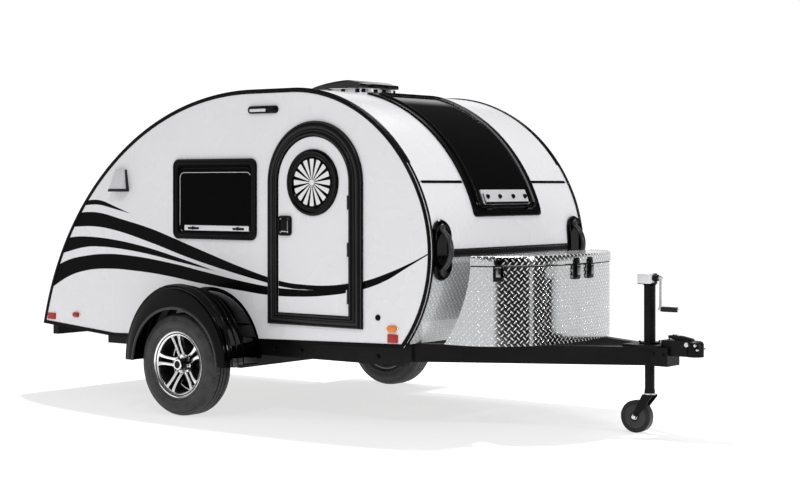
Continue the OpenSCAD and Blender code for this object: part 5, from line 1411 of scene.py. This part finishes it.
def jack_caps(bm):
    """The head's dark cap and gear cover, and the tube's collars."""
    slab(bm, Vector((jack_mid.x + 0.006, 0.008, 0.828)),
         Vector((jack_mid.x + 0.027, 0.0425, 0.889)), 0.004, 2)
    turned(bm, [(0, 0.030), (0.011, 0.030), (0.014, 0.026), (0.015, 0.0)],
           jack_mid + Vector((0.024, 0.004, 0.866)), (1, 0, 0), 24)
    for z, r in ((0.4995, 0.037), (0.392, 0.0365), (0.824, 0.036)):
        turned(bm, [(0.031, 0.0), (r, 0.0), (r, 0.011), (0.031, 0.013)],
               jack_mid + Vector((0, 0, z)), (0, 0, 1), 40)

crank_low = 0.694
arm_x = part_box("jack_crank")[0].x + 0.012

def crank_grip(bm):
    ridges = [(0.0142 + 0.0012 * (k % 2), 0.006 + 0.0045 * k) for k in range(19)]
    turned(bm, [(0, 0), (0.0128, 0), (0.0142, 0.003)] + ridges
           + [(0.0142, 0.094), (0.0150, 0.098), (0.0130, 0.101), (0.0, 0.101)],
           (arm_x + 0.006, 0, crank_low), (1, 0, 0), 32)

def crank_nut(bm):
    turned(bm, [(0, 0.006), (0.006, 0.006), (0.009, 0.003), (0.009, 0)],
           (arm_x + 0.107, 0, crank_low), (1, 0, 0), 16)

one_piece("gear_head", gear_head, brushed)
one_piece("jack_caps", jack_caps, gloss_black)
one_piece("crank_grip", crank_grip, rubber_black, "jack_crank", angle=60)
one_piece("crank_nut", crank_nut, chrome, "jack_crank")

# %% [markdown]
# The caster has a hard grey tyre on a black wheel, a bright hub and a bright swivel ring.

# %% Caster
caster_mid = Vector((middle("jack_wheel", 0), 0, middle("jack_wheel", 2)))
def caster_tyre(bm):
    half = [(0.0905, 0.0), (0.0905, 0.014), (0.0885, 0.0195), (0.084, 0.0225), (0.076, 0.0242),
            (0.072, 0.0232), (0.068, 0.0232), (0.064, 0.0250), (0.030, 0.0262), (0.028, 0.0262)]
    for side in (-1, 1):
        turned(bm, half, caster_mid, (0, side, 0), 64)

def caster_hub(bm):
    half = [(0.0, 0.046), (0.007, 0.046), (0.0125, 0.043), (0.0125, 0.030), (0.017, 0.0295),
            (0.017, 0.0270)]
    for side in (-1, 1):
        turned(bm, half, caster_mid, (0, side, 0), 24)

def swivel_ring(bm):
    turned(bm, [(0.0285, 0.0), (0.0345, 0.001), (0.0345, 0.007), (0.0285, 0.009)],
           jack_mid + Vector((0, 0, 0.2175)), (0, 0, 1), 40)

def leg_rings(bm):
    for z in (0.228, 0.239):
        turned(bm, [(0.0275, 0.0), (0.0295, 0.001), (0.0295, 0.006), (0.0275, 0.007)],
               jack_mid + Vector((0, 0, z)), (0, 0, 1), 40)

one_piece("caster_tyre", caster_tyre, grey_rubber_and_lip_highlight, "caster_wheel")
one_piece("caster_hub", caster_hub, chrome, "caster_fork")
one_piece("swivel_ring", swivel_ring, zinc, "caster_fork")
one_piece("leg_rings", leg_rings, gloss_black, "jack_leg")
print("jack's axis at", round(jack_mid.x, 4), "caster at", round(caster_mid.x, 4))

# %% [markdown]
# The camera stands at chest height ahead of the right front corner and looks level. Its lens is
# long, so the sides stay nearly parallel. A white world gives soft light. The metal would look
# flat in an all-white room, so what the metal reflects has a few broad darker fields in it.

# %% Camera, floor and light
camera = bpy.data.objects.new("camera", bpy.data.cameras.new("camera"))
bpy.context.scene.collection.objects.link(camera)
eye, heading = at(7.2413, -8.3637, 1.381), math.radians(37.4154)
camera.location = eye
camera.rotation_euler = (math.radians(90), 0, heading)
camera.data.lens, camera.data.sensor_width = 76.69, 36.0
camera.data.shift_y = -0.0814
camera.data.clip_end = 200
bpy.context.scene.camera = camera
bpy.context.scene.view_settings.view_transform = "Standard"

class Studio(Sheet):
    """The world's node tree, written with the same expressions as a material."""
    def __init__(self, world):
        world.use_nodes = True
        self.tree, self.coords = world.node_tree, {}
        self.shader = self.tree.nodes["Background"]

world = bpy.data.worlds.new("studio")
bpy.context.scene.world = world
studio = Studio(world)
wx, wy, wz = studio.xyz("Generated")
flat = (wx * wx + wy * wy).op("SQRT")
ahead = (wx * 0.978 - wy * 0.208) / flat
walls = ahead.ramp(0.62, 0.76, 0.80,
                   0.02) + ((wx * 0.990 + wy * 0.139) / flat).ramp(0.9965, 0.9990, 0.0, 0.5)
fields = walls * (wz + wx * 0.25).ramp(0.20, 0.32, 1.0,
                                       0.06) + wz.ramp(0.62, 0.68) * wz.ramp(0.80, 0.90, 1.1, 0.5)
ray_kinds = studio.node("ShaderNodeLightPath").socket.node
soft = studio.mix(Val(studio, ray_kinds.outputs["Is Glossy Ray"]), (0.57, 0.57, 0.58), fields)
studio.set(color=studio.mix(Val(studio, ray_kinds.outputs["Is Camera Ray"]), soft, (1.1, 1.1, 1.1)),
           strength=1.0)

bm = bmesh.new()
bmesh.ops.create_grid(bm, x_segments=1, y_segments=1, size=4.2)
floor_paint = Sheet("studio_floor", roughness=0.9, specular_ior_level=0.0)
floor_paint.set(base_color=(0.25, 0.25, 0.25), emission_color=(1.0, 1.0, 1.0),
                emission_strength=0.69)
floor_mesh = bpy.data.meshes.new("studio_floor")
bm.to_mesh(floor_mesh)
bm.free()
floor = bpy.data.objects.new("studio_floor", floor_mesh)
floor_mesh.materials.append(floor_paint.material)
bpy.context.scene.collection.objects.link(floor)

def soft_light(name, spot, aim, size, power):
    lamp = bpy.data.objects.new(name, bpy.data.lights.new(name, "AREA"))
    bpy.context.scene.collection.objects.link(lamp)
    lamp.data.shape, lamp.data.size, lamp.data.energy = "SQUARE", size, power
    lamp.location = spot
    lamp.rotation_euler = (Vector(aim) - Vector(spot)).to_track_quat("-Z", "Y").to_euler()
    return lamp

soft_light("key", (3.5, -6.0, 6.5), (0, 0, 0.9), 0.7, 135)
soft_light("top", (-0.6, 4.0, 8.0), (0, 0, 0), 2.5, 330)
soft_light("front", (8.5, 0.5, 3.0), (1.0, 0, 0.9), 0.8, 185)

# A small lamp straight above lights the floor alone, so one even shadow lies all round the trailer.
overhead = soft_light("overhead", at(-0.6, 1.2, 8.0), at(0.3, 0, 0), 0.35, 1700)
floor_only = bpy.data.collections.new("floor_only")
floor_only.objects.link(floor)
overhead.light_linking.receiver_collection = floor_only
